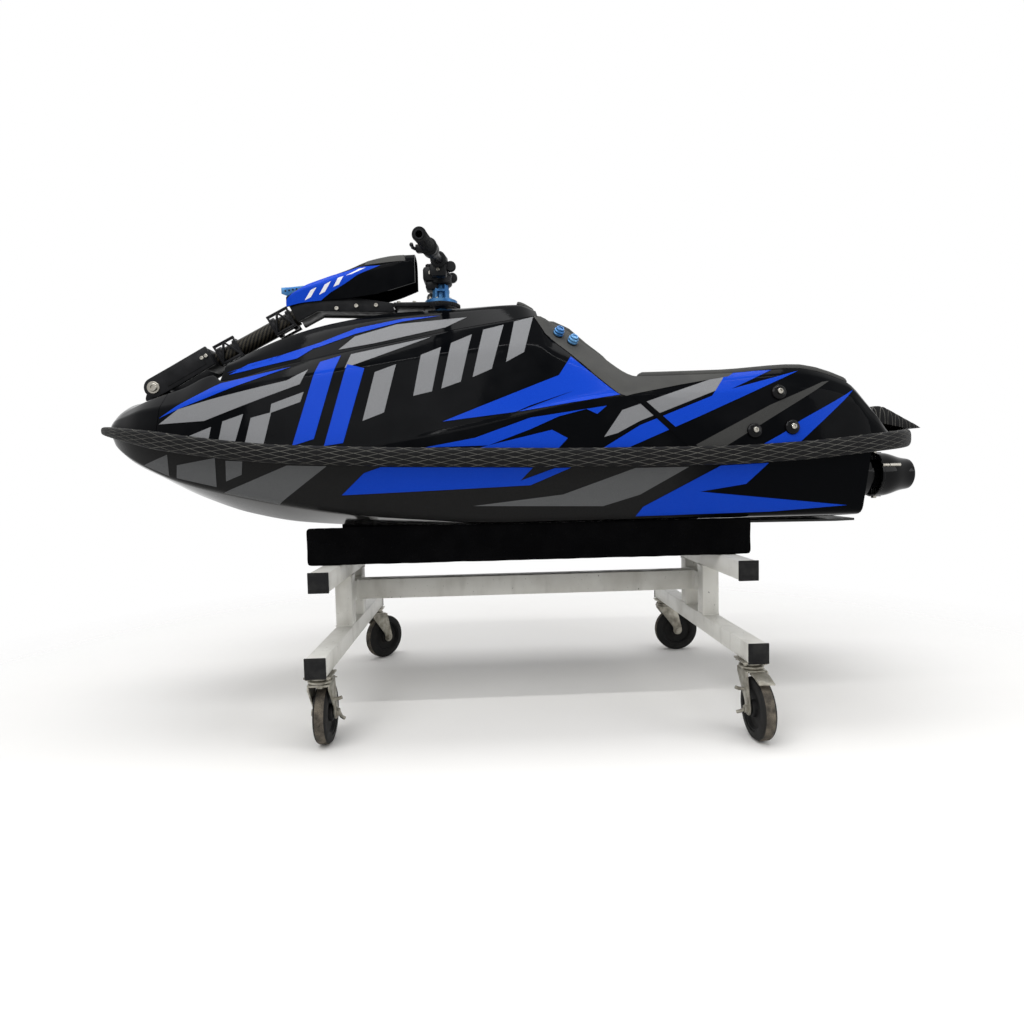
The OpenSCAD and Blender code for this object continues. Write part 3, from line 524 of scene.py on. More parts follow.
def foam(name, color, pale):
    """Closed-cell foam with a fine pebbled skin."""
    f = Finish(name, color, 0.82, specular=0.1)
    cells = f.node("ShaderNodeTexVoronoi", {"Vector": f.coordinates, "Scale": 420.0}).outputs[0]
    patches = f.patches(14.0, 5.0, 0.35, 0.7)
    f.color(patches, color, pale, 0.5)
    f.rough(f.band(patches, 0.0, 1.0, 0.74, 0.9))
    f.bump(cells, 0.0004, 0.6)
    return f.material


def quilt(name):
    """Dark moulded rubber whose quilting lines have gone pale. The pattern's places come with the mesh."""
    f = Finish(name, "#141414", 0.6, specular=0.08)
    place = f.places()
    lines = [f.math("PINGPONG", f.math(sign, place[0], place[1]), 0.5) for sign in ("ADD", "SUBTRACT")]
    line = f.band(f.math("MINIMUM", *lines), 0.02, 0.055, 1.0, 0.0)
    f.color(line, "#151516", "#6f6e69", f.patches(30.0, 5.0, 0.3, 0.75, 0.35, 1.0))
    f.rough(f.band(line, 0.0, 1.0, 0.52, 0.8))
    f.bump(f.noise(700.0, 3.0), 0.0003, 0.6)
    return f.material


def metal(name, color, roughness, worn, metallic=1.0, specular=0.5):
    """Metal, bare or coated, with stains and small scratches."""
    f = Finish(name, color, roughness, metallic, specular)
    f.color(f.patches(28.0, 6.0, 0.42, 0.72), color, worn, 0.6)
    f.rough(f.patches(60.0, 4.0, 0.3, 0.7, roughness * 0.75, roughness * 1.35))
    f.bump(f.noise(500.0, 2.0), 0.00008, 0.7)
    return f.material


def plastic(name, color, pale, roughness):
    """Moulded plastic or rubber, rubbed pale in places."""
    f = Finish(name, color, roughness, specular=0.15)
    rub = f.patches(40.0, 5.0, 0.45, 0.75)
    f.color(rub, color, pale, 0.35)
    f.rough(f.band(rub, 0.0, 1.0, roughness * 0.85, min(1.0, roughness * 1.25)))
    f.bump(f.noise(900.0, 2.0), 0.00015, 0.6)
    return f.material


def stand_paint():
    """White paint on steel, with grime in patches, scuffs and a few chips."""
    f = Finish("stand_paint", "#d3d2cb", 0.42, specular=0.4)
    grime = f.patches(9.0, 8.0, 0.48, 0.78)
    streak = f.band(f.noise(26.0, 6.0, (1.0, 1.0, 0.25)), 0.55, 0.8)
    chips = f.patches(150.0, 3.0, 0.70, 0.74)
    tone = f.mix(streak, f.mix(grime, "#d6d5cf", "#a5a198", 0.55), "#8b877d", 0.4)
    f.color(chips, tone, "#4b4742", 0.8)
    f.rough(f.band(grime, 0.0, 1.0, 0.36, 0.66))
    f.bump(f.math("SUBTRACT", f.noise(260.0, 2.0), chips), 0.0002, 0.5)
    return f.material


def carpet():
    """Short black pile, matted in places."""
    f = Finish("bunk_carpet", "#060606", 0.95, specular=0.03)
    f.color(f.patches(18.0, 5.0, 0.4, 0.75), "#050506", "#0f0f10", 0.5)
    f.bump(f.math("ADD", f.noise(900.0, 3.0), f.noise(240.0, 2.0)), 0.003, 0.8)
    return f.material


def zinc():
    """Zinc plate gone dull, mottled and slightly brown."""
    f = Finish("zinc_steel", "#989489", 0.42, metallic=0.85)
    mottle = f.patches(55.0, 6.0, 0.35, 0.7)
    f.color(f.patches(22.0, 7.0, 0.56, 0.74), f.mix(mottle, "#a9a69b", "#77736a"), "#5d4f3e", 0.55)
    f.rough(f.band(mottle, 0.0, 1.0, 0.34, 0.62))
    f.bump(f.noise(240.0, 4.0), 0.0003, 0.5)
    return f.material


def worn_tread():
    """Caster tread ground pale with floor dust and grit."""
    f = Finish("worn_tread", "#5b564f", 0.9, specular=0.1)
    grit = f.patches(700.0, 8.0, 0.40, 0.62)
    f.color(grit, f.mix(f.patches(45.0, 6.0, 0.35, 0.70), "#403d39", "#7a7266"), "#262523", 0.45)
    f.bump(grit, 0.0006, 0.6)
    return f.material


def woven():
    """Clear-coated woven fibre on the pole tube. The weave follows the tube."""
    f = Finish("woven_tube", "#17171a", 0.3, specular=0.12)
    steps = [f.math("FLOOR", part, 0.0) for part in f.places()[:2]]
    over = f.math("LESS_THAN", f.math("MODULO", f.math("ADD", *steps), 4.0), 2.0)
    f.color(over, "#0b0b0b", "#37332b")
    f.bump(over, 0.0003, 0.6)
    return f.material


GEL = gelcoat("gelcoat_black", "#060709", "#39393b", 0.02)
HULL_GEL = hull_gelcoat()
BLUE = vinyl("vinyl_blue", "#0d3bb2", "#1f50c8", 0.2)
SILVER = vinyl("vinyl_silver", "#757678", "#949597", 0.3)
# A darker copy of the silver film for the hull, with the shade on the hull side painted into its colour.
SILVER_PAINTED_SHADE = vinyl("vinyl_silver_painted_shade", "#555657", "#6c6d6e", 0.3)
# A still darker copy of the silver film for the stripe below the rails, with deep painted shade in its
# colour.
SILVER_PAINTED_DEEP_SHADE = vinyl("vinyl_silver_painted_deep_shade", "#3b3b3a", "#4a4a49", 0.3)
WHITE = vinyl("vinyl_white", "#dcdde0", "#ececee", 0.3)
FOAM = foam("grey_foam", "#434342", "#555552")
QUILT = quilt("quilted_rubber")
ALLOY = metal("black_alloy", "#0d0e10", 0.38, "#242426", 0.0, 0.12)
STEEL = metal("bright_steel", "#a9a69e", 0.26, "#7d776c", 1.0)
DARK_STEEL = metal("dark_steel", "#3c3d3d", 0.5, "#55544f", 0.0, 0.1)
ENGINE = metal("engine_alloy", "#8d9094", 0.45, "#66645f", 0.9)
JET = gelcoat("black_jet", "#08080a", "#3c3b3a", 0.12)
ANODISED = metal("blue_anodised", "#2c5f93", 0.34, "#6fa3c8", 0.5, 0.3)
BAR = metal("bar_metal", "#101114", 0.34, "#2b2b2f", 0.0, 0.2)
GRIP = plastic("grip_rubber", "#0d0e0f", "#242526", 0.75)
CONTROL = plastic("control_plastic", "#0d0e10", "#222326", 0.5)
PAINT = stand_paint()
CAP = plastic("cap_plastic", "#141415", "#3c3c3a", 0.55)
CARPET = carpet()
ZINC = zinc()
RUBBER = plastic("wheel_rubber", "#191919", "#3a3835", 0.7)
TREAD = worn_tread()
WOVEN = woven()

# Carried-over nodes take these finishes by their slot.
SLOT_FINISH = {
    "gelcoat": GEL, "cover_gelcoat": GEL, "quilted_rubber": QUILT, "grey_foam": FOAM, "black_alloy": ALLOY,
    "woven_tube": WOVEN, "bright_steel": STEEL, "engine_alloy": ENGINE, "black_jet": JET,
    "blue_anodised": ANODISED, "bar_metal": BAR, "grip_rubber": GRIP, "control_plastic": CONTROL,
    "stand_paint": PAINT, "cap_plastic": CAP, "bunk_carpet": CARPET, "zinc_steel": ZINC,
    "wheel_rubber": RUBBER}
for part in frame["record"]["subparts"]:
    node = frame["nodes"][part["node"]]
    node.data.materials.clear()
    node.data.materials.append(SLOT_FINISH[part["material_slot"]])
frame["nodes"]["ride_plate"].data.materials[0] = DARK_STEEL


# Hull, decks and hood.

STATION = 12


def stations(start, end):
    return spread(start, end, max(2, round((end - start) / STATION)))


def skins(places, half, wall, share, first=-math.inf, last=math.inf):
    """Outer and inner rows of a shell, from a half outline. The inner rows stay between two places."""
    outer = [placed(x, soft(mirrored(half(x)), share)) for x in places]
    inner = [placed(min(max(x, first), last), soft(inset(mirrored(half(x)), wall), share)) for x in places]
    return outer, inner


def make_shell(name, outer, inner, material, node, body="craft", angle=30):
    return dress(mesh_object(name, shell_mesh(outer, inner), angle), [material], body, [node])


hull_skin, hull_inner = skins(stations(HULL[0][0], TRANSOM_X), hull_half, -WALL, HULL_ROUND,
                              last=TRANSOM_X - WALL)
cut_out = arc(0, PUMP_Z, PUMP_CLEAR_R, -200, 20, len(hull_skin[0]) - 1)
make_shell("hull_shell", hull_skin + [placed(TRANSOM_X, cut_out)],
           hull_inner + [placed(TRANSOM_X - WALL, cut_out)], HULL_GEL, "hull")

deck_skin, deck_inner = skins(stations(BOW_SEAM_X, TAIL_X), deck_half, WALL, DECK_ROUND, last=TAIL_X - WALL)
make_shell("deck_shell", deck_skin, deck_inner, GEL, "deck")

BOW_X, BOW_TIP_Z, SEAM_GAP = DECK[0][0], 762, 1.5
bow_skin, bow_inner = skins(stations(BOW_X, BOW_SEAM_X - SEAM_GAP), deck_half, WALL, DECK_ROUND,
                            first=BOW_X + WALL)
tip = [(0.1 * y, 0.9 * BOW_TIP_Z + 0.1 * z) for _, y, z in bow_skin[0]]
make_shell("bow_deck_shell", [placed(BOW_X - 1, tip)] + bow_skin,
           [placed(BOW_X + WALL, tip)] + bow_inner, GEL, "bow_deck")

HOOD_X0, HOOD_X1 = HOOD[0][0], HOOD[-1][0]
hood_skin, hood_inner = skins(stations(HOOD_X0, HOOD_X1), hood_half, HOOD_WALL, HOOD_ROUND)


def hood_wall_row(x, run):
    """Lower edge of the wall that closes an end of the hood down to the deck."""
    floor = soft(deck_half(x), DECK_ROUND)

    def deck_height(y):
        for (y0, z0), (y1, z1) in zip(floor, floor[1:]):
            if y1 <= y <= y0 and y0 != y1:
                return z0 + (z1 - z0) * (y - y0) / (y1 - y0)
        return floor[-1][1]
    return [(x, y, min(z, deck_height(abs(y)) + 1.0)) for _, y, z in run]


def closed_ends(rows, front, back):
    """Rows of the hood with a wall down to the deck at both ends."""
    return [hood_wall_row(front, rows[0])] + rows + [hood_wall_row(back, rows[-1])]


make_shell("hood_shell", closed_ends(hood_skin, HOOD_X0 - 2, HOOD_X1 + 2),
           closed_ends(hood_inner, HOOD_X0 + 3, HOOD_X1 - 3), GEL, "hood")


# Printed film on the craft, as sheets that lie on the skins. Outlines are places and heights on the left
# side, and the right side has their mirror image.

def outside_faces(rows, turn, least=0.12):
    """The faces of a skin that look away from the middle plane by a least share.

    Turn is -1 where the rows run underneath.
    """
    found = []
    for a, b in zip(rows, rows[1:]):
        for j in range(len(a) - 1):
            quad = [Vector(p) for p in (a[j], b[j], b[j + 1], a[j + 1])]
            out = (quad[2] - quad[0]).cross(quad[3] - quad[1]) * turn
            middle = sum(p.y for p in quad)
            if abs(out.y) > least * out.length and out.y * middle > 0:
                found.append((quad if turn > 0 else quad[::-1], math.copysign(1, middle),
                              min(p.x for p in quad), max(p.x for p in quad),
                              min(p.z for p in quad), max(p.z for p in quad)))
    return found


def cut_faces(faces, corners, side):
    """The part of the faces on one side that lies behind a triangle."""
    xs = [c.x for c in corners]
    zs = [c.y for c in corners]
    bm = bmesh.new()
    for quad, face_side, x0, x1, z0, z1 in faces:
        if face_side == side and x1 > min(xs) and x0 < max(xs) and z1 > min(zs) and z0 < max(zs):
            bm.faces.new([bm.verts.new(p) for p in quad])
    bmesh.ops.remove_doubles(bm, verts=bm.verts[:], dist=1e-3)
    middle = (corners[0] + corners[1] + corners[2]) / 3
    for a, b in zip(corners, corners[1:] + corners[:1]):
        across = Vector((b.y - a.y, a.x - b.x))
        if across.dot(middle - a) > 0:
            across.negate()
        bmesh.ops.bisect_plane(bm, geom=bm.verts[:] + bm.edges[:] + bm.faces[:], dist=1e-4,
                               plane_co=(a.x, 0, a.y), plane_no=(across.x, 0, across.y), clear_outer=True)
    return bm


def film(name, faces, outlines, lift, material, body="craft"):
    """Film cut to outlines, lifted a little off the skins."""
    bm = bmesh.new()
    for outline in outlines:
        for triangle in tessellate_polygon([[Vector((x, z, 0.0)) for x, z in outline]]):
            for side in (-1, 1):
                pour(cut_faces(faces, [Vector(outline[i]) for i in triangle], side), bm)
    bmesh.ops.remove_doubles(bm, verts=bm.verts[:], dist=0.02)
    bm.normal_update()
    for vert in bm.verts:
        vert.co += vert.normal * lift
    dress(mesh_object(name, bm, outward=False), [material], body)


DECK_SILVER = [
    [(-885, 747), (-835, 782), (-733, 805), (-562, 841), (-514, 868), (-530, 831), (-761, 750)],
    [(-714, 747), (-663, 763), (-680, 693), (-721, 701)],
    [(-644, 753), (-595, 765), (-609, 691), (-655, 692)],
    [(-596, 785), (-520, 812), (-527, 788), (-598, 763)],
    [(-812, 710), (-742, 735), (-746, 706)],
    [(-425, 868), (-415, 906), (-219, 946)],
    [(-353, 856), (-303, 874), (-330, 758), (-380, 739)],
    [(-244, 896), (-196, 916), (-218, 806), (-262, 796)],
    [(-172, 926), (-122, 948), (-150, 828), (-196, 812)],
    [(-94, 960), (-44, 972), (-76, 858), (-122, 838)],
    [(-18, 980), (29, 992), (2, 898), (-42, 874)],
    [(180, 689), (225, 751), (484, 836), (465, 799), (266, 725), (213, 698)]]
# Silver stripe below the rails, drawn in the copy of the silver film with painted shade.
DECK_SILVER_PAINTED_DEEP_SHADE = [
    [(387, 662), (465, 660), (740, 816), (720, 813), (582, 758)]]
DECK_BLUE = [
    [(-887, 762), (-837, 792), (-732, 844), (-561, 878), (-750, 809), (-827, 785)],
    [(-489, 888), (-440, 903), (-492, 699), (-542, 684)],
    [(-420, 878), (-378, 866), (-424, 688), (-468, 682)],
    [(-194, 733), (83, 840), (115, 888), (223, 788), (10, 756)],
    [(-237, 673), (-120, 693), (9, 737), (189, 762), (166, 743), (141, 755), (76, 739), (8, 710), (-89, 675)],
    [(-89, 675), (59, 708), (95, 688), (71, 663), (-120, 667)],
    [(174, 662), (228, 660), (410, 734), (666, 842), (492, 798), (600, 845), (488, 840), (443, 782),
     (266, 715)],
    [(553, 662), (612, 692), (656, 721), (802, 794), (652, 670)]]
DECK_DARK = [
    [(-42, 744), (119, 802), (11, 767)],
    [(252, 782), (269, 784), (399, 664), (377, 662)]]
# Grey mat beside the slope and on the front of the rails.
DECK_GREY = [
    [(27, 1000), (84, 996), (180, 922), (262, 850), (493, 852), (505, 838), (491, 830), (371, 811),
     (262, 790), (236, 784), (223, 790), (170, 841), (116, 895), (56, 948)]]
HULL_SILVER = [
    [(-949, 651), (-865, 674), (-877, 622)],
    [(-845, 648), (-735, 662), (-750, 593), (-856, 617)],
    [(-709, 655), (-666, 652), (-676, 621), (-721, 606)],
    [(-738, 578), (-656, 606), (-559, 640), (-465, 636), (-600, 547)],
    [(-129, 534), (86, 557), (254, 616), (382, 616), (271, 552), (184, 526)]]
HULL_BLUE = [
    [(-439, 567), (-380, 618), (-339, 631), (13, 622), (-16, 592), (65, 620), (102, 620), (8, 581),
     (-205, 574)],
    [(266, 499), (282, 522), (458, 617), (575, 621), (527, 572), (417, 556), (793, 513), (600, 502)]]
HOOD_BLUE = [
    [(-728, 872), (-500, 944), (-412, 980), (-295, 1003), (-201, 1008), (-294, 995), (-410, 965), (-498, 932),
     (-677, 890)],
    [(-721, 867), (-677, 894), (-501, 937), (-551, 902)]]
HOOD_SILVER = [
    [(-449, 921), (-412, 957), (-309, 987), (-133, 1000), (-188, 971), (-360, 935)]]

# Lifts of the layers of film.
LOW, MID, HIGH = 0.7, 0.9, 1.1
deck_faces = outside_faces(deck_skin, 1)
hull_faces = outside_faces(hull_skin, -1)
hood_faces = outside_faces(hood_skin, 1)
film("deck_film_silver", deck_faces, DECK_SILVER, LOW, SILVER)
# The silver stripe below the rails takes the copy with painted shade.
film("deck_film_silver_painted_deep_shade", deck_faces, DECK_SILVER_PAINTED_DEEP_SHADE, LOW, SILVER_PAINTED_DEEP_SHADE)
film("deck_film_blue", deck_faces, DECK_BLUE, MID, BLUE)
film("deck_film_black", deck_faces, DECK_DARK, HIGH, GEL)
film("deck_film_grey", deck_faces, DECK_GREY, HIGH, FOAM, "craft")
# The silver film on the hull takes the copy with painted shade.
film("hull_film_silver", hull_faces, HULL_SILVER, LOW, SILVER_PAINTED_SHADE)
film("hull_film_blue", hull_faces, HULL_BLUE, MID, BLUE)
film("hood_film_silver", hood_faces, HOOD_SILVER, LOW, SILVER)
film("hood_film_blue", hood_faces, HOOD_BLUE, MID, BLUE)


# Bumper and pads.

GLUE = 0.6
BUMPER_T, BUMPER_H = 20, 44
TIP_SHARE = 0.4
DIAMOND_LEN, DIAMOND_ROWS, DIAMOND_DEPTH = 56, 3.6, 1.6
QUILT_STEP = 4.0


def bumper_half(x):
    """Half height of the bumper, which narrows to its tip ahead of the bow seam."""
    return BUMPER_H / 2 * (1 - (1 - TIP_SHARE) * max(0.0, BOW_SEAM_X - x) / (BOW_SEAM_X - HULL[0][0]))


def evenly(points, step):
    """Points at even steps along a line of points, the last one included, and the length of the line."""
    points = [Vector(p) for p in points]
    lengths = [(b - a).length for a, b in zip(points, points[1:])]
    count = max(2, round(sum(lengths) / step))
    out = []
    i, passed = 0, 0.0
    for k in range(count + 1):
        aim = sum(lengths) * k / count
        while i < len(lengths) - 1 and passed + lengths[i] < aim:
            passed += lengths[i]
            i += 1
        share = min(1.0, (aim - passed) / max(lengths[i], 1e-9))
        out.append(points[i].lerp(points[i + 1], share))
    return out, sum(lengths)


def quilting(u, v, width=0.1):
    """Depth of crossed grooves at a place, from 0 to 1. They run where u + v or u - v is a whole number."""
    return max(max(0.0, 1 - abs(w - round(w)) / width) ** 2 for w in (u + v, u - v))


def patterned(name, bm, angle, places, material, body, node):
    """A piece whose vertices carry their places in a pattern, for its material to read."""
    obj = mesh_object(name, bm, angle)
    attribute = obj.data.attributes.new(PLACE, "FLOAT_VECTOR", "POINT")
    for i, place in enumerate(places):
        attribute.data[i].vector = place
    return dress(obj, [material], body, [node])


def make_bumper():
    """Quilted band round the bond line."""
    side = [(x, *bond(x)) for x in stations(HULL[0][0], TAIL_X)]
    loop = side[::-1] + [(x, -y, z) for x, y, z in side]
    line, length = evenly(loop + loop[:1], QUILT_STEP)
    diamonds = round(length / DIAMOND_LEN)
    count = len(line) - 1
    rows, places = [], []
    for i, p in enumerate(line):
        ahead = line[(i + 3) % count] - line[(i - 3) % count]
        out = Vector((ahead.y, -ahead.x, 0)).normalized()
        row = []
        for k, degrees in enumerate(spread(-90, 90, 24)):
            angle = math.radians(degrees)
            share = math.copysign(abs(math.sin(angle)) ** 0.75, angle)
            reach = GLUE + (BUMPER_T - GLUE) * max(0.0, math.cos(angle)) ** 0.45
            u, v = diamonds * i / count, DIAMOND_ROWS * share / 2
            depth = DIAMOND_DEPTH * quilting(u, v) if 2 < k < 22 else 0.0
            row.append(p + out * (reach - depth) + Vector((0, 0, share * bumper_half(p.x))))
            places.append((u, v, 0))
        rows.append(row)
    obj = patterned("bumper_quilted", grid_mesh(rows, closed=True), 60, places, QUILT, "craft",
                    "bumper")


make_bumper()


def edge_steps(start, end, count, fringe=(0.0, 0.8, 2.5, 5.5, 10.0)):
    """Places from start to end, close together near both ends and even between."""
    inside = spread(start + fringe[-1], end - fringe[-1], count)
    return [start + f for f in fringe[:-1]] + inside + [end - f for f in reversed(fringe[:-1])]


def rounded(edge, radius):
    """Share of its full height that a rounded pad has at a distance from its edge."""
    return math.sqrt(max(0.0, 1 - max(0.0, 1 - edge / radius) ** 2))


def crowned(low, thickness, radius):
    """The top of a pad that lies on a grid of points, with its edges rounded over."""
    top = []
    for row in low:
        line = []
        for j, p in enumerate(row):
            edge = min((Vector(p) - Vector(q)).length for q in (row[0], row[-1], low[0][j], low[-1][j]))
            line.append(Vector(p) + Vector((0, 0, thickness * max(0.2, rounded(edge, radius)))))
        top.append(line)
    return top


PAD_T, PAD_ROUND = 11, 8
TRAY_X = 277
NECK_X = TRAY_X - 40
SLOPE_X0, SLOPE_X1, MAT_X0 = 66, 470, 472
rear_places = spread(84, TRANSOM_X, 19)


def slope_section(x):
    """Half width and height of the seat of the slope pad at one of its main places."""
    wide = table_at(DECK, x, 9) if x < NECK_X else (1 - DECK_ROUND) * table_at(DECK, max(x, TRAY_X), 11) - 2
    return wide, GLUE + max(table_at(DECK, x, c) for c in ((10, 12, 13) if x < TRAY_X else (12, 13)))


def between(x, places, section):
    """Section at a place, on straight lines between the main places."""
    i = max(0, min(len(places) - 2, sum(1 for p in places if p <= x) - 1))
    share = (x - places[i]) / (places[i + 1] - places[i])
    return [a + (b - a) * share for a, b in zip(section(places[i]), section(places[i + 1]))]


def make_pad(name, low, thickness, radius, nodes):
    obj = mesh_object(name, shell_mesh(crowned(low, thickness, radius), low), 50)
    dress(obj, [FOAM], "craft", nodes)


slope_places = [SLOPE_X0] + [x for x in rear_places if x < SLOPE_X1]
slope_low = []
for x in edge_steps(slope_places[0], slope_places[-1], 36):
    half, z = between(x, slope_places, slope_section)
    slope_low.append([(x, y, z) for y in edge_steps(-half, half, 24)])
make_pad("slope_foam", slope_low, PAD_T, PAD_ROUND, ["slope_pad"])

rail_places = [x for x in rear_places if TRAY_X < x < TRANSOM_X - 31]


def rail_section(x):
    """Half width and height of the outer and the inner edge of a rail pad's seat."""
    return [table_at(DECK, x, 7) - 2, table_at(DECK, x, 8) + GLUE,
            table_at(DECK, x, 9) + 2, table_at(DECK, x, 10) + GLUE]


rails = Piece("rail_foam")
for side in (-1, 1):
    rail_low = []
    for x in edge_steps(rail_places[0], rail_places[-1], 44):
        y0, z0, y1, z1 = between(x, rail_places, rail_section)
        rail_low.append([(x, side * y, z0 + (z1 - z0) * (y - y0) / (y1 - y0)) for y in
                         [y0 - s for s in edge_steps(0, y0 - y1, 4)]])
    rails.take(shell_mesh(crowned(rail_low, PAD_T, PAD_ROUND), rail_low))
rails.done([FOAM], "craft", "grey_foam", ["rail_pads"], 50)

# Grey lip on the back of the hood.
LIP_HALF, LIP_T, LIP_ROUND = 118, 8, 6
lip_low = []
for x in edge_steps(-6, 38, 6, (0.0, 0.8, 2.5, 5.0)):
    z = table_at(HOOD, x, 5) - 0.5
    lip_low.append([(x, y, z - 3.0 * (y / LIP_HALF) ** 2) for y in edge_steps(-LIP_HALF, LIP_HALF, 20)])
make_pad("hood_lip_foam", lip_low, LIP_T, LIP_ROUND, [])

MAT_T, MAT_HALF, MAT_RIB = 6, 146, 36
mat_places = [x for x in rear_places if x > MAT_X0]


def mat_height(x, y):
    return (table_at(DECK, x, 13) + (table_at(DECK, x, 12) - table_at(DECK, x, 13)) * abs(y)
            / table_at(DECK, x, 11) + GLUE)


def make_mat():
    """Ribbed mat on the tray floor."""
    low, top = [], []
    for x in spread(mat_places[0], mat_places[-1], 90):
        low.append([(x, y, mat_height(x, y)) for y in spread(-MAT_HALF, MAT_HALF, 74)])
        top.append([(x, y, z + MAT_T - DIAMOND_DEPTH * quilting(x / MAT_RIB, y / MAT_RIB, 0.12))
                    for _, y, z in low[-1]])
    places = [((x + y) / (2 * MAT_RIB), (x - y) / (2 * MAT_RIB), 0) for row in top for x, y, _ in row]
    patterned("tray_mat_ribbed", shell_mesh(top, low), 40, places + places, QUILT, "craft",
              "tray_mat")


make_mat()

TAIL_PAD_HALF, TAIL_ROUND, TAIL_CELL, TAIL_GROOVE = 150, 10, 22, 1.8
tail_foot_z = DECK[20][13] + 6
tail_edge_z = bond(TAIL_X)[1] + BUMPER_H / 2 + GLUE


def make_tail_pad():
    """Quilted wedge on the tail: crowned, with cross-hatched stitching."""
    over = [(850, tail_foot_z), (906, tail_foot_z + 38), (922, tail_foot_z + 40), (938, tail_foot_z + 40),
            (952, tail_foot_z + 36), (1036, tail_edge_z + 8), (1041, tail_edge_z)]
    under = [(850, tail_foot_z), (912, tail_foot_z), (974, tail_foot_z - 13), (1002, tail_edge_z),
             (1041, tail_edge_z)]
    line, length = evenly([(x, 0, z) for x, z in soft(over, 0.3)], QUILT_STEP)
    top, low, places = [], [], []
    for i, p in enumerate(line):
        base = next(z0 + (z1 - z0) * (p.x - x0) / (x1 - x0) for (x0, z0), (x1, z1) in zip(under, under[1:])
                    if x0 <= p.x <= x1 + 1e-6)
        low.append([(p.x, y, base) for y in edge_steps(-TAIL_PAD_HALF, TAIL_PAD_HALF, 70)])
        top.append([])
        for _, y, _ in low[-1]:
            edge = TAIL_PAD_HALF - abs(y)
            u, v = length * i / len(line) / TAIL_CELL, y / TAIL_CELL
            depth = TAIL_GROOVE * quilting(u, v) * min(1.0, edge / 12)
            height = (p.z - base) * (0.25 + 0.75 * rounded(edge, TAIL_ROUND))
            top[-1].append((p.x, y, base + max(0.4, height - depth)))
            places.append((u, v, 0))
    obj = patterned("tail_pad_quilted", shell_mesh(top, low), 50, places + places, QUILT, "craft",
                    "tail_pad")


make_tail_pad()

# Bolts on the craft's sides that hold the foot holds, on black washers.
FOOT_HOLD_BOLTS = [(605, 788), (539, 697), (632, 704)]
FOOT_HOLD_WASHER = [(0, 0), (18, 0), (18, 3), (17, 5.8), (14, 8), (9, 9), (0, 9)]
bolts = Piece("foot_hold_bolts")
for x, z in FOOT_HOLD_BOLTS:
    for side in (-1, 1):
        point, out = on_deck_side(x, z, side)
        here = facing(point - out, out)
        bolts.lathe(FOOT_HOLD_WASHER, here, 40, 1)
        bolts.bolt(here @ Vector((0, 0, 8.6)), out, 6.5)
bolts.done([STEEL, JET], "craft", "bright_steel")

# Places of the primer fittings with their lifts off the shoulder, and their profile.
FITTINGS, FITTING_SHARE = [(90, 1.7), (124, 1.3)], 0.68
FITTING = [(0, 2), (12, 2), (13, 3), (13, 6), (12, 7), (11.4, 8), (12, 9), (13, 10), (13, 13), (12, 14),
           (10.4, 15), (10, 16), (10, 19), (9, 20), (6, 20), (5.4, 18), (0, 18)]


def shoulder(x, share):
    """Point on the left shoulder between the upper crease and the outer top edge."""
    return Vector((x, -(1 - share) * table_at(DECK, x, 5) - share * table_at(DECK, x, 7),
                   (1 - share) * table_at(DECK, x, 6) + share * table_at(DECK, x, 8)))


fittings = Piece("primer_fittings_turned")
for x, lift in FITTINGS:
    along = shoulder(x + 1, FITTING_SHARE) - shoulder(x - 1, FITTING_SHARE)
    out = along.cross(shoulder(x, FITTING_SHARE + 0.1) - shoulder(x, FITTING_SHARE - 0.1)).normalized()
    here = facing(shoulder(x, FITTING_SHARE) + lift * out, out)
    fittings.lathe([(0, 0), (13, 0), (13, 2.4), (0, 2.4)], here, 36, 1)
    fittings.lathe(FITTING, here, 36)
fittings.done([ANODISED, ALLOY], "craft", "blue_anodised", ["primer_fittings"])


# Pole.

YOKE_GAP, YOKE_T = 96, 10
TUBE_START, TUBE_R = 170, 22
ARM_HALF = 40
on_pole = move(*PIVOT, -RISE, "Y")
upright = move(turn=90, axis="X")


def both_ways(profile):
    """A profile with heights below zero, followed by its mirror image above."""
    return profile + [(r, -z) for r, z in reversed(profile)]


yoke = Piece("yoke_cast")
for side in (-1, 1):
    plate = on_pole @ move(0, side * (YOKE_GAP + YOKE_T) / 2) @ upright
    yoke.prism(arc(0, 0, 26, 90, 270) + [(60, -26), (TUBE_START, -22), (TUBE_START, 30), (60, 27)], YOKE_T,
               plate, 2.0)
    yoke.prism([(34, -16), (150, -13), (150, 20), (34, 16)], 3.0, plate @ move(0, 0, -side * YOKE_T / 2), 1.2)
    for x in (148, 160):
        yoke.bolt(on_pole @ Vector((x, side * (YOKE_GAP / 2 + YOKE_T), 6)), (0, side, 0), 5.0, 1)
yoke.box((34, YOKE_GAP + 2, 48), on_pole @ move(TUBE_START - 17, 0, 4), 4.0)
yoke.done([ALLOY, STEEL], "pole", "black_alloy", ["pole_yoke"])

bracket = Piece("bracket_block")
bracket.prism([(-30, -32.6), (60, -32.6), (60, -24)] + arc(0, 0, 22, 0, 180) + [(-30, -24)], 86,
              move(*PIVOT) @ upright, 2.5)
for x in (33, 49):
    for y in (-30, 30):
        bracket.bolt(PIVOT + Vector((x, y, -24)), (0, 0, 1), 5.0, 1)
bracket.done([ALLOY, STEEL], "craft", "black_alloy", ["pole_bracket"])

PIN_HEAD = [(0, 0), (16, 0), (16, 2), (15, 2.6), (11, 2.6), (10.4, 3.2), (10.4, 6.2), (9.6, 7), (5.5, 7),
            (5, 4.2), (0, 4.2)]
pin = Piece("pole_pin_bolt")
pin.sweep([PIVOT + Vector((0, y, 0)) for y in (-58.5, 0, 58.5)], 10, 32)
for side in (-1, 1):
    pin.lathe(PIN_HEAD, facing(PIVOT + Vector((0, side * 58.3, 0)), (0, side, 0)), 48)
pin.done([STEEL], "craft", "bright_steel", ["pole_pin"])

WEAVE_ROUND, WEAVE_CELL = 44, 3.2


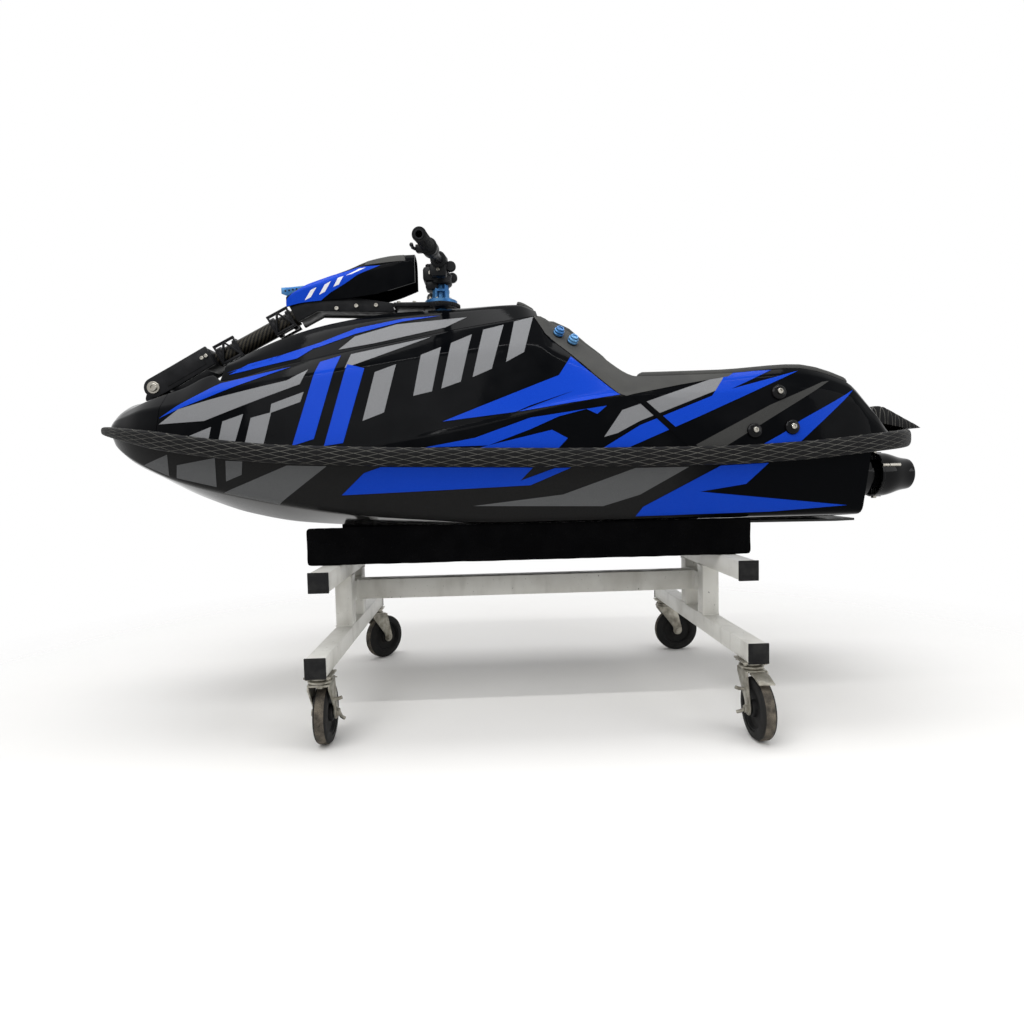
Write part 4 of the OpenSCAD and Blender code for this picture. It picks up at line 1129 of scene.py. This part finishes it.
def make_tube():
    """Woven tube between the yoke and the knee."""
    sides = 56
    rows, places = [], []
    for x in spread(TUBE_START, POLE_REACH - 60, 40):
        row = []
        for k in range(sides + 1):
            a = 2 * math.pi * k / sides
            row.append(on_pole @ Vector((x, TUBE_R * math.cos(a), TUBE_R * math.sin(a))))
            places.append((WEAVE_ROUND * k / sides, x / WEAVE_CELL, 0))
        rows.append(row)
    patterned("tube_woven", grid_mesh(rows), 60, places, WOVEN, "pole", "pole_tube")


make_tube()

TRUSS_LEN = 62
# Bars of one side of a truss: ends in its plane and width.
TRUSS_BARS = [((0, 27), (TRUSS_LEN, 27), 6), ((0, -23), (TRUSS_LEN, -23), 6), ((3, -23), (3, 27), 5),
              ((59, -23), (59, 27), 5), ((3, -23), (31, 27), 5), ((31, 27), (59, -23), 5)]
TRUSS_RING = both_ways([(22.2, -6), (27, -6), (28, -5)])
truss = Piece("truss_plates")
for start in (TUBE_START + 8, POLE_REACH - 130):
    for side in (-1, 1):
        face = on_pole @ move(start, side * 26) @ upright
        for a, b, width in TRUSS_BARS:
            a, b = Vector((*a, 0)), Vector((*b, 0))
            along = b - a
            turn = Matrix.Translation((a + b) / 2) @ Matrix.Rotation(math.atan2(along.y, along.x), 4, "Z")
            truss.box((along.length, width, 8), face @ turn, 1.0)
    for x in (start + 8, start + TRUSS_LEN - 8):
        truss.lathe(TRUSS_RING, on_pole @ move(x, 0, 0, 90, "Y"), 40)
truss.done([ALLOY], "pole", "black_alloy", ["pole_trusses"])

PLATE_T, PLATE_LEAD = 12, 125
plate_front = STEER_X - PLATE_LEAD


def on_knee(x, z):
    """Place and height of a point in the pole's own frame."""
    p = on_pole @ Vector((x, 0, z))
    return p.x, p.z


arm_outline = [on_knee(410, 24), on_knee(410, -24), (KNEE_X + 10, KNEE_Z - 22), (plate_front, PLATE_Z - 26),
               (plate_front, PLATE_Z - 2), (plate_front - 90, PLATE_Z + 12), (KNEE_X + 3.3, KNEE_Z + 15.7),
               on_knee(480, 24)]
arm_middle = Vector((sum(x for x, _ in arm_outline), sum(z for _, z in arm_outline))) / len(arm_outline)
arm_core = [(x + (4 if x < arm_middle.x else -3), z + (3.5 if z < arm_middle.y else -3.5))
            for x, z in arm_outline]
ARM_BOLTS = [(-480, 1057), (-428, 1063), (-376, 1064)]
arm = Piece("arm_plates")
for side in (-1, 1):
    arm.prism(arm_outline, 9, move(0, side * (ARM_HALF - 4.5)) @ upright, 1.6)
    for x, z in ARM_BOLTS:
        arm.bolt((x, side * ARM_HALF, z), (0, side, 0), 5.5, 1)
arm.prism(arm_core, 64, upright, 1.0)
arm.done([ALLOY, STEEL], "pole", "black_alloy", ["pole_arm"])

COVER_ROUND = 0.25
cover_skin, cover_inner = skins(spread(COVER[0][0], COVER[-1][0], 34), cover_half, COVER_WALL, COVER_ROUND)
make_shell("cover_shell", cover_skin, cover_inner, GEL, "pole_cover", "pole", 35)

# Film on the pole cover, with plain slanted bars where the photo has letters.
COVER_BLUE = [
    [(-619, 1060), (-606, 1086), (-593, 1098), (-538, 1136), (-469, 1150), (-418, 1162), (-360, 1164),
     (-388, 1153), (-419, 1142), (-458, 1118), (-495, 1097), (-541, 1060)]]
COVER_WHITE = [
    [(-562, 1078), (-546, 1104), (-530, 1112), (-546, 1086)],
    [(-524, 1092), (-508, 1119), (-492, 1127), (-508, 1100)],
    [(-486, 1112), (-473, 1135), (-458, 1140), (-471, 1118)],
    [(-452, 1141), (-414, 1158), (-398, 1159), (-436, 1144)]]
# Grey pad over the top of the cover, in front of the bars.
COVER_GREY = [
    [(-402, 1167), (-388, 1210), (-302, 1210), (-294, 1177)]]
cover_faces = outside_faces(cover_skin, 1)
film("cover_film_blue", cover_faces, COVER_BLUE, LOW, BLUE, "pole")
film("cover_film_white", cover_faces, COVER_WHITE, MID, WHITE, "pole")
film("cover_film_grey", outside_faces(cover_skin, 1, 0.0), COVER_GREY, LOW, FOAM, "pole")

BLADE_X, BLADE_Z = COVER[0][0], COVER[0][2]
blade_low = [(x, table_at(COVER, x, 2) + 0.3) for x in (BLADE_X, BLADE_X + 24, BLADE_X + 48)]
blade = Piece("blade_fin")
blade.prism([(BLADE_X - 24, BLADE_Z + 10)] + blade_low + [(BLADE_X + 48, blade_low[-1][1] + 4),
            (BLADE_X, BLADE_Z + 27), (BLADE_X - 24, BLADE_Z + 26)], 4, upright, 0.8)
for k in range(4):
    blade.box((5, 5, 5), move(BLADE_X - 13 + 10 * k, 0, BLADE_Z + 17 + 1.6 * k), 0.5, 1)
blade.done([ANODISED, ALLOY], "pole", "blue_anodised", ["pole_blade"])


# Steering.

def knurled(radius, teeth, depth):
    """Round outline with small teeth."""
    radii = [radius - (depth if k % 4 > 1 else 0) for k in range(4 * teeth)]
    return [(r * math.cos(a), r * math.sin(a)) for r, a in zip(radii, ring_angles(4 * teeth))]


steering_axis = move(STEER_X, 0, PLATE_Z)
plate_middle = steering_axis @ move(0, 0, -PLATE_T / 2)
plate = Piece("plate_knurled")
plate.prism(knurled(52, 44, 2.2), PLATE_T - 2, plate_middle, 0.5)
plate.lathe([(45, -PLATE_T), (49, -PLATE_T), (49, 0), (45, 0)], steering_axis, 64)
plate.prism([(-PLATE_LEAD, -ARM_HALF), (-20, -ARM_HALF), (-20, ARM_HALF), (-PLATE_LEAD, ARM_HALF)], PLATE_T,
            plate_middle, 2.0)
for x in (-112, -70):
    for y in (-30, 30):
        plate.bolt(steering_axis @ Vector((x, y, 0)), (0, 0, 1), 5.0, 1)
plate.done([ALLOY, STEEL], "pole", "black_alloy", ["steering_plate"])

STEM_TOP = BAR_Z - 17 - PLATE_Z
stem = Piece("stem_tower")
stem.lathe([(0, -18), (18, -18), (18, -13), (12, -12.6), (12, 0.3), (42, 0.3), (44, 1.5), (44, 8.5),
            (42.5, 10), (30, 10), (29, 12), (14, 12), (13, STEM_TOP - 8), (0, STEM_TOP - 8)],
           steering_axis, 64)
for k in range(4):
    stem.prism([(17, 10), (27, 10), (21, STEM_TOP - 4), (14, STEM_TOP - 4)], 13,
               steering_axis @ move(turn=45 + 90 * k) @ upright, 1.2)
for z, r in ((36, 23.5), (60, 21.5)):
    stem.lathe([(r - 6, z - 3), (r, z - 3), (r, z + 3), (r - 6, z + 3)], steering_axis, 48)
stem.lathe([(0, STEM_TOP - 6), (21, STEM_TOP - 6), (22, STEM_TOP - 5), (22, STEM_TOP - 1), (21, STEM_TOP),
            (0, STEM_TOP)], steering_axis, 48)
for x, y in arc(0, 0, 37, 15, 315, 5):
    stem.bolt(steering_axis @ Vector((x, y, 10)), (0, 0, 1), 3.5, 1)
stem.done([ANODISED, STEEL], "steering", "blue_anodised", ["steering_stem"])

BAR_R, BAR_WALL, BAR_HALF, BEND_Y = 11, 3, 352, 70
BORE = BAR_R + 0.1
DROOP, SWEEP = 7, 5
BAR_ARM = (BAR_HALF - BEND_Y) / (math.cos(math.radians(DROOP)) * math.cos(math.radians(SWEEP)))
clamp = Piece("clamp_halves")
for rise in (-9.2, 9.2):
    clamp.box((44, 72, 15.5), move(STEER_X, 0, BAR_Z + rise), 2.5)
for x in (-16.5, 16.5):
    for y in (-26, 26):
        clamp.bolt((STEER_X + x, y, BAR_Z + 16.5), (0, 0, 1), 4.0, 1)
clamp.done([ALLOY, STEEL], "steering", "black_alloy", ["bar_clamp"])


def pipe(piece, path, radii, sides=28):
    """A tube with open ends along a path that lies across the craft, from its outer and inner radius."""
    rings = [[], []]
    for i, p in enumerate(path):
        ahead = (path[min(i + 1, len(path) - 1)] - path[max(i - 1, 0)]).normalized()
        side = (Vector((1, 0, 0)) - ahead * ahead.x).normalized()
        other = ahead.cross(side)
        for ring, r in zip(rings, radii):
            ring.append([p + (side * math.cos(a) + other * math.sin(a)) * r for a in ring_angles(sides)])
    bm = grid_mesh(rings[0] + rings[1][::-1] + rings[0][:1], closed=True)
    bmesh.ops.remove_doubles(bm, verts=bm.verts[:], dist=SAME)
    piece.take(bm)


def bar_frame(side, out=0.0):
    """Frame on one arm of the bar, its Z axis outwards, at a distance out from the bend."""
    return (move(STEER_X, side * BEND_Y, BAR_Z, side * SWEEP) @ move(turn=side * -DROOP, axis="X")
            @ move(turn=side * -90, axis="X") @ move(0, 0, out))


bar_tips = [bar_frame(side) @ Vector((0, 0, BAR_ARM)) for side in (1, -1)]
bar_line = soft([bar_tips[0], (STEER_X, BEND_Y, BAR_Z), (STEER_X, -BEND_Y, BAR_Z), bar_tips[1]], 0.1, 8)
handlebar = Piece("bar_tube")
pipe(handlebar, [Vector(p) for p in bar_line], (BAR_R, BAR_R - BAR_WALL))
handlebar.done([BAR], "steering", "bar_metal", ["handlebar"])

GRIP_LEN, GRIP_R, GRIP_DIP = 125, 16, 15.0
start = BAR_ARM - GRIP_LEN
grip = [(BORE, start), (20, start), (21, start + 1.5), (20, start + 4), (15.5, start + 6)]
for k in range(13):
    z = start + 10 + 8 * k
    grip += [(GRIP_DIP, z), (GRIP_R, z + 1.2), (GRIP_R, z + 4.2), (GRIP_DIP, z + 5.4)]
grip += [(15.6, BAR_ARM - 6), (16.6, BAR_ARM - 4), (16, BAR_ARM - 2), (BORE, BAR_ARM - 2)]
grips = Piece("grips_ribbed")
for side in (-1, 1):
    grips.lathe(grip, bar_frame(side), 40)
grips.done([GRIP], "steering", "grip_rubber", ["grips"], 40)


def collar(r, dip, middle, length):
    """Profile of a collar on the bar, with a groove round it."""
    return [(BORE, 0), (r - 3, 0), (r, 2), (r, middle - 2), (r - dip, middle - 1), (r - dip, middle + 1),
            (r, middle + 2), (r, length - 2), (r - 3, length), (BORE, length)]


controls = Piece("switch_and_throttle")
for side, reach in ((-1, 72), (1, 122)):
    here = bar_frame(side, BAR_ARM - GRIP_LEN - 44)
    controls.lathe(collar(20, 1, 20, 40), here, 40)
    controls.box((28, 17, 26), here @ move(-20, 0, 19), 3.0)
    lever = [here @ Vector((x, 0, z))
             for x, z in ((-30, 16), (-36, 24), (-39, 40), (-38, 0.6 * reach), (-36, reach - 4))]
    controls.sweep(lever, 4.0, 12, 1)
    controls.lathe([(0, -5), (3.5, -4), (5, 0), (3.5, 4), (0, 5)], Matrix.Translation(lever[-1]), 16, 1)
    controls.bolt(here @ Vector((-32, 8.6, 16)), here.to_3x3() @ Vector((0, 1, 0)), 3.5, 2)
controls.lathe([(22, 50), (29, 52), (31, 55), (31, 60), (29, 62), (29, 74), (31, 76), (31, 80), (28, 82),
                (22, 82)], steering_axis, 48)
# The switch pod ahead of the bar stays inside the turning circle that the pole cover leaves free.
controls.box((42, 58, 40), move(STEER_X - 25, 0, BAR_Z - 22), 9.0)
controls.box((34, 46, 26), move(STEER_X - 23, 0, BAR_Z - 50), 8.0)
for side in (-1, 1):
    controls.lathe([(0, 0), (9, 0), (9, 6), (7, 8), (0, 8)], move(STEER_X - 30, side * 15, BAR_Z - 3), 28)
    controls.bolt((STEER_X - 26, side * 29, BAR_Z - 22), (0, side, 0), 5.0, 2)
for side in (-1, 1):
    controls.lathe(collar(21, 1.5, 17, 36), bar_frame(side, -26), 40)
    controls.box((44, 30, 36), move(STEER_X - 2, side * 58, BAR_Z - 24), 7.0)
    controls.lathe([(0, 0), (13, 0), (14, 1), (14, 8), (12, 10), (0, 10)],
                   facing((STEER_X + 30, side * 46, BAR_Z - 12), (0, side, 0)), 36)
    controls.bolt((STEER_X - 2, side * 73, BAR_Z - 26), (0, side, 0), 4.0, 2)
controls.done([CONTROL, BAR, STEEL], "steering", "control_plastic", ["controls"])


# Jet drive.

NOZZLE = [(58, 996), (61, 996), (62.6, 997.5), (62.6, 1003), (61.6, 1004.5), (61.6, 1021), (61.2, 1027),
          (60.2, 1034), (58.4, 1042), (56, 1050), (53.2, 1058), (50.4, 1066), (48, 1074), (46, 1082),
          (44.6, 1090), (43.6, 1097), (42.6, 1100.5), (41, 1102), (38, 1102), (37, 1100.5), (37, 1077),
          (58, 1022)]
# Hinge rods beside the nozzle: start, end and distance from the middle.
RODS = ((998, 1016, 57), (1018, 1034, 57), (1036, 1050, 54))
nozzle = Piece("nozzle_bell")
nozzle.lathe(NOZZLE, move(0, 0, PUMP_Z, 90, "Y"), 72)
for side in (-1, 1):
    nozzle.bolt((1008, 0, PUMP_Z + side * 61), (0, 0, side), 7.0, 1)
    nozzle.box((26, 10, 5), move(1014, 0, PUMP_Z + side * 60.5), 1.5)
    for start, end, y in RODS:
        nozzle.sweep([(x, side * y, PUMP_Z + 26) for x in (start, end)], 4.5, 16, 1)
nozzle.done([JET, STEEL], "nozzle", "black_jet", ["steering_nozzle"])


# Stand.

TUBE, TUBE_ROUND, FRAME_X = 45, 4.0, (-478, 502)
FOOT_LEN, ARM_LEN, POST_GAP = 810, 700, 150
FOOT_Z, ARM_Z, SPINE_Z, SPINE_H = 172, 351, 274, 55
CAP_T, CAP_OVER = 3, 1.2
BEAD_R, BEAD_STEP = 2.6, 3.0
WELD_HALF = TUBE / 2 - 1


def weld(piece, corners):
    """A rippled bead along a closed loop of corners."""
    path = []
    for p in evenly(corners + corners[:1], BEAD_STEP)[0]:
        q = p * 0.4
        path.append(p + Vector((noise.noise(q), noise.noise(q + Vector((9, 0, 0))), 0)) * 0.5)
    piece.sweep(path, BEAD_R, 8)


def post_loop(x, y, z):
    return [(x + a * WELD_HALF, y + b * WELD_HALF, z) for a, b in ((-1, -1), (1, -1), (1, 1), (-1, 1))]


feet, arms, posts, spine, caps = (Piece(name) for name in (
    "foot_beam_tubes", "arm_tubes", "post_tubes", "spine_tube", "end_caps_moulded"))
spine_middle = SPINE_Z + SPINE_H / 2
for x in FRAME_X:
    feet.box((TUBE, FOOT_LEN, TUBE), move(x, 0, FOOT_Z + TUBE / 2), TUBE_ROUND)
    arms.box((TUBE, ARM_LEN, TUBE), move(x, 0, ARM_Z + TUBE / 2), TUBE_ROUND)
    spine.box((TUBE, POST_GAP - TUBE, SPINE_H), move(x, 0, spine_middle), TUBE_ROUND)
    for side in (-1, 1):
        y = side * POST_GAP / 2
        posts.box((TUBE, TUBE, ARM_Z - FOOT_Z - TUBE), move(x, y, (FOOT_Z + TUBE + ARM_Z) / 2), TUBE_ROUND)
        weld(posts, post_loop(x, y, FOOT_Z + TUBE + 1))
        weld(posts, post_loop(x, y, ARM_Z - 1))
        for length, z in ((FOOT_LEN, FOOT_Z + TUBE / 2), (ARM_LEN, ARM_Z + TUBE / 2)):
            caps.box((TUBE + 2 * CAP_OVER, CAP_T + 1, TUBE + 2 * CAP_OVER),
                     move(x, side * (length / 2 + CAP_T / 2), z), 1.4)
            caps.box((TUBE - 12, 1.2, TUBE - 12), move(x, side * (length / 2 + CAP_T + 0.6), z), 0.5)
spine.box((FRAME_X[1] - FRAME_X[0] - TUBE, TUBE, SPINE_H), move(sum(FRAME_X) / 2, 0, spine_middle),
          TUBE_ROUND)
for x in (FRAME_X[0] + TUBE / 2 + 1, FRAME_X[1] - TUBE / 2 - 1):
    weld(spine, [(x, -WELD_HALF, SPINE_Z + 1), (x, WELD_HALF, SPINE_Z + 1),
                 (x, WELD_HALF, SPINE_Z + SPINE_H - 1), (x, -WELD_HALF, SPINE_Z + SPINE_H - 1)])
for piece, node in ((feet, "foot_beams"), (arms, "arms"), (posts, "posts"), (spine, "spine")):
    piece.done([PAINT], "craft", "stand_paint", [node])
caps.done([CAP], "craft", "cap_plastic", ["end_caps"])

BUNK_X, BUNK_LEN, BUNK_W, BUNK_Y = 12, 1090, 68, 201
BUNK_ROUND, NAP = 9, 1.1


def bunk_top(y):
    """Height of a bunk under the bottom of the hull, which rises from its keel to its chine."""
    return 468 + (490 - 468) * y / 240 - 0.3


def make_bunks():
    """Boards wrapped in carpet, their corners soft and a little uneven."""
    piece = Piece("bunks_carpeted")
    foot = ARM_Z + TUBE
    inner, outer = BUNK_Y - BUNK_W / 2, BUNK_Y + BUNK_W / 2
    start, end = BUNK_X - BUNK_LEN / 2, BUNK_X + BUNK_LEN / 2
    corners = [(BUNK_Y, foot), (outer, foot), (outer, bunk_top(outer)), (inner, bunk_top(inner)),
               (inner, foot), (BUNK_Y, foot)]
    outline = soft(corners, 0.14, 5)[:-1]
    line, _ = evenly([(y, z, 0) for y, z in outline + outline[:1]], 5.0)
    middle = Vector((BUNK_Y, (foot + bunk_top(BUNK_Y)) / 2, 0))
    for side in (-1, 1):
        rows = []
        for x in edge_steps(start, end, 134, (0.0, 0.6, 2.0, 4.5, 9.0)):
            shrink = 8 * (1 - rounded(min(x - start, end - x), BUNK_ROUND))
            row = []
            for p in line[:-1]:
                rough = NAP * noise.noise(Vector((x / 28, side * p.x / 14, p.y / 14))) + NAP
                q = p + (middle - p).normalized() * (shrink + rough)
                row.append((x, side * q.x, max(foot, q.y)))
            rows.append(row)
        piece.take(grid_mesh(rows, closed=True, ends=True))
    piece.done([CARPET], "craft", "bunk_carpet", ["bunks"], 60)


make_bunks()


# Casters, in the order left bow, left stern, right bow, right stern.
# Columns: end frame, side, turn of the trail, whether it has a brake tab.

CASTERS = [(0, -1, 90, True), (1, -1, -90, True), (0, 1, 50, False), (1, 1, 0, False)]
WHEEL_R, WHEEL_W, TRAIL, CASTER_Y = 70, 32, 38, 365
CROWN_Z = 2 * WHEEL_R + 8
LEG_GAP, LEG_T = 42, 4
PLATE_THICK = 4
HEAD_TOP = FOOT_Z - PLATE_THICK - 0.3
LEG_OUT = LEG_GAP / 2 + LEG_T

plates = Piece("caster_top_plates")
for frame_index, side, _, _ in CASTERS:
    x, y = FRAME_X[frame_index], side * CASTER_Y
    plates.box((60, 60, PLATE_THICK), move(x, y, FOOT_Z - PLATE_THICK / 2), 1.0)
    plates.sweep([(x, y, z) for z in (CROWN_Z - 6, CROWN_Z + 6, FOOT_Z - 2)], 8, 24)
    plates.lathe([(0, -4), (11, -4), (11, 0), (0, 0)], move(x, y, CROWN_Z - 4), 6)
    for dx in (-23, 23):
        for dy in (-23, 23):
            plates.bolt((x + dx, y + dy, FOOT_Z - PLATE_THICK), (0, 0, -1), 4.5)
plates.done([ZINC], "craft", "zinc_steel", ["caster_plates"])

# Outlines and profiles of the forks and wheels.
LEG = ([(-22, CROWN_Z + 4), (-22, CROWN_Z - 8), (TRAIL - 17, WHEEL_R + 14)]
       + arc(TRAIL, WHEEL_R, 15, 160, 375) + [(37, CROWN_Z - 8), (34, CROWN_Z + 4)])
CROWN = [(-26, -20), (-20, -25), (26, -25), (34, -18), (34, 18), (26, 25), (-20, 25), (-26, 20)]
NUT = [(0, 0), (12, 0), (12, 1.4), (9.5, 1.6), (9.5, 6), (8.5, 7), (0, 7)]
HEAD = [(8.3, CROWN_Z + 5), (26, CROWN_Z + 5), (28, CROWN_Z + 7), (28, CROWN_Z + 11), (25, CROWN_Z + 13),
        (22, CROWN_Z + 14), (22, HEAD_TOP - 4), (26, HEAD_TOP - 3), (26, HEAD_TOP), (8.3, HEAD_TOP)]
BRAKE_TAB = [(34, CROWN_Z - 2), (58, CROWN_Z - 3), (86, CROWN_Z - 12), (87, CROWN_Z - 9), (58, CROWN_Z + 2),
             (34, CROWN_Z + 3)]
BRAKE_PEGS = [((TRAIL, -LEG_OUT - 5, WHEEL_R), (TRAIL - 8, -LEG_OUT - 12, WHEEL_R - 8),
               (TRAIL - 12, -LEG_OUT - 20, WHEEL_R - 11)),
              ((16, -LEG_OUT + 1, 108), (15, -LEG_OUT - 10, 109), (14, -LEG_OUT - 18, 112))]
face = -WHEEL_W / 2
TYRE = both_ways([(50.5, face), (62, face + 0.4), (66.5, face + 2), (69, face + 5.5)]) + [(49, 0)]
BAND = both_ways([(68, face + 5), (69.4, face + 6), (70, face + 8.5)])
HUB = both_ways([(6.4, -18), (17, -18), (19, -16), (20, -9), (24, -7), (42, -7), (45, -10), (46, -13.5),
                 (50, -14)])
for number, (frame_index, side, turn, brake) in enumerate(CASTERS, 1):
    here = move(FRAME_X[frame_index], side * CASTER_Y, 0, turn)
    fork = Piece("fork_pressed_%d" % number)
    for leg_side in (-1, 1):
        fork.prism(LEG, LEG_T, here @ move(0, leg_side * (LEG_GAP + LEG_T) / 2) @ upright, 1.0)
        axle_end = facing(here @ Vector((TRAIL, leg_side * LEG_OUT, WHEEL_R)),
                          here.to_3x3() @ Vector((0, leg_side, 0)))
        fork.lathe(NUT, axle_end, 6)
        fork.lathe([(0, 0), (13, 0), (13, 1.2), (0, 1.2)], axle_end, 32)
    fork.prism(CROWN, 5, here @ move(0, 0, CROWN_Z + 2.5), 1.6)
    fork.lathe(HEAD, here, 48)
    fork.sweep([here @ Vector((TRAIL, y, WHEEL_R)) for y in (-27, 0, 27)], 6, 20)
    if brake:
        fork.prism(BRAKE_TAB, 36, here @ upright, 1.0)
        for peg in BRAKE_PEGS:
            fork.sweep([here @ Vector(p) for p in peg], 4.0, 12)
    fork.done([ZINC], "caster_%d" % number, "zinc_steel", ["fork_%d" % number])

    wheel = Piece("wheel_turned_%d" % number)
    axle = here @ move(TRAIL, 0, WHEEL_R, 90, "X")
    wheel.lathe(TYRE, axle, 72)
    wheel.lathe(BAND, axle, 72, 1)
    wheel.lathe(HUB, axle, 56)
    wheel.done([RUBBER, TREAD], "roller_%d" % number, "wheel_rubber", ["wheel_%d" % number])


# Camera, floor and light.

CAMERA = Vector((-100.9, -1829.9, 606.4)) * MM
YAW, PITCH, ROLL = (math.radians(a) for a in (2.362, -3.2467, -1.2995))
LENS, SENSOR = 23.11, 36.0
ahead = Vector((math.sin(YAW) * math.cos(PITCH), math.cos(YAW) * math.cos(PITCH), math.sin(PITCH)))
level = Vector((math.cos(YAW), -math.sin(YAW), 0))
above = level.cross(ahead)
right = level * math.cos(ROLL) + above * math.sin(ROLL)
top = above * math.cos(ROLL) - level * math.sin(ROLL)
camera_data = bpy.data.cameras.new("camera")
camera_data.lens = LENS
camera_data.sensor_width = SENSOR
camera = bpy.data.objects.new("camera", camera_data)
camera.matrix_world = Matrix.Translation(CAMERA) @ Matrix((right, top, -ahead)).transposed().to_4x4()
bpy.context.scene.collection.objects.link(camera)
bpy.context.scene.camera = camera

FLOOR_HALF = 3


def floor_finish():
    """Pale floor that ends softly in the white around it."""
    f = Finish("pale_floor", "#f4f2ef", 0.7, specular=0.1)
    f.color(f.patches(1.6, 5.0, 0.3, 0.75), "#f7f6f4", "#efede9", 0.3)
    reach = f.node("ShaderNodeVectorMath", {0: f.coordinates}, operation="LENGTH").outputs["Value"]
    clear = f.node("ShaderNodeBsdfTransparent").outputs[0]
    shown = f.node("ShaderNodeMixShader", {0: f.band(reach, 0.8, 2.2), 1: f.shader.outputs[0], 2: clear})
    f.links.new(shown.outputs[0], f.nodes["Material Output"].inputs["Surface"])
    return f.material


floor_mesh = bpy.data.meshes.new("floor")
floor_mesh.from_pydata([(x * FLOOR_HALF, y * FLOOR_HALF, 0) for x, y in ((-1, -1), (1, -1), (1, 1), (-1, 1))],
                       [], [(0, 1, 2, 3)])
floor = bpy.data.objects.new("floor", floor_mesh)
floor_mesh.materials.append(floor_finish())
bpy.context.scene.collection.objects.link(floor)


def lamp(name, place, aim, size, power):
    data = bpy.data.lights.new(name, "AREA")
    data.shape = "RECTANGLE"
    data.size, data.size_y = size
    data.energy = power
    obj = bpy.data.objects.new(name, data)
    obj.location = place
    obj.rotation_euler = (Vector(aim) - Vector(place)).to_track_quat("-Z", "Y").to_euler()
    bpy.context.scene.collection.objects.link(obj)


lamp("key", (-1.4, -2.6, 3.2), (0, 0, 0.7), (2.6, 1.6), 48)
lamp("overhead", (0, 0.2, 3.4), (0, 0, 0.6), (3.6, 1.0), 45)
lamp("strip", (0, -1.3, 2.9), (0, 0, 0.8), (3.4, 0.07), 24)
lamp("stern_fill", (2.8, -1.8, 1.8), (0.4, 0, 0.7), (1.4, 1.4), 16)

# The world lights the object softly, and is white to the camera and in reflections.
LIGHT_STRENGTH, SEEN_STRENGTH = 0.55, 1.0
world = bpy.data.worlds.new("studio")
bpy.context.scene.world = world
world.use_nodes = True
sky = Nodes(world.node_tree)
sky.nodes.clear()
rays = sky.node("ShaderNodeLightPath").outputs
seen = rays["Is Camera Ray"]
for kind in ("Is Glossy Ray", "Is Transmission Ray"):
    seen = sky.math("MAXIMUM", seen, rays[kind])
plain, white = (sky.node("ShaderNodeBackground", {"Color": (1, 1, 1, 1), "Strength": strength}).outputs[0]
                for strength in (LIGHT_STRENGTH, SEEN_STRENGTH))
chosen = sky.node("ShaderNodeMixShader", {0: seen, 1: plain, 2: white}).outputs[0]
sky.node("ShaderNodeOutputWorld", {0: chosen})

bpy.context.scene.view_settings.view_transform = "Standard"
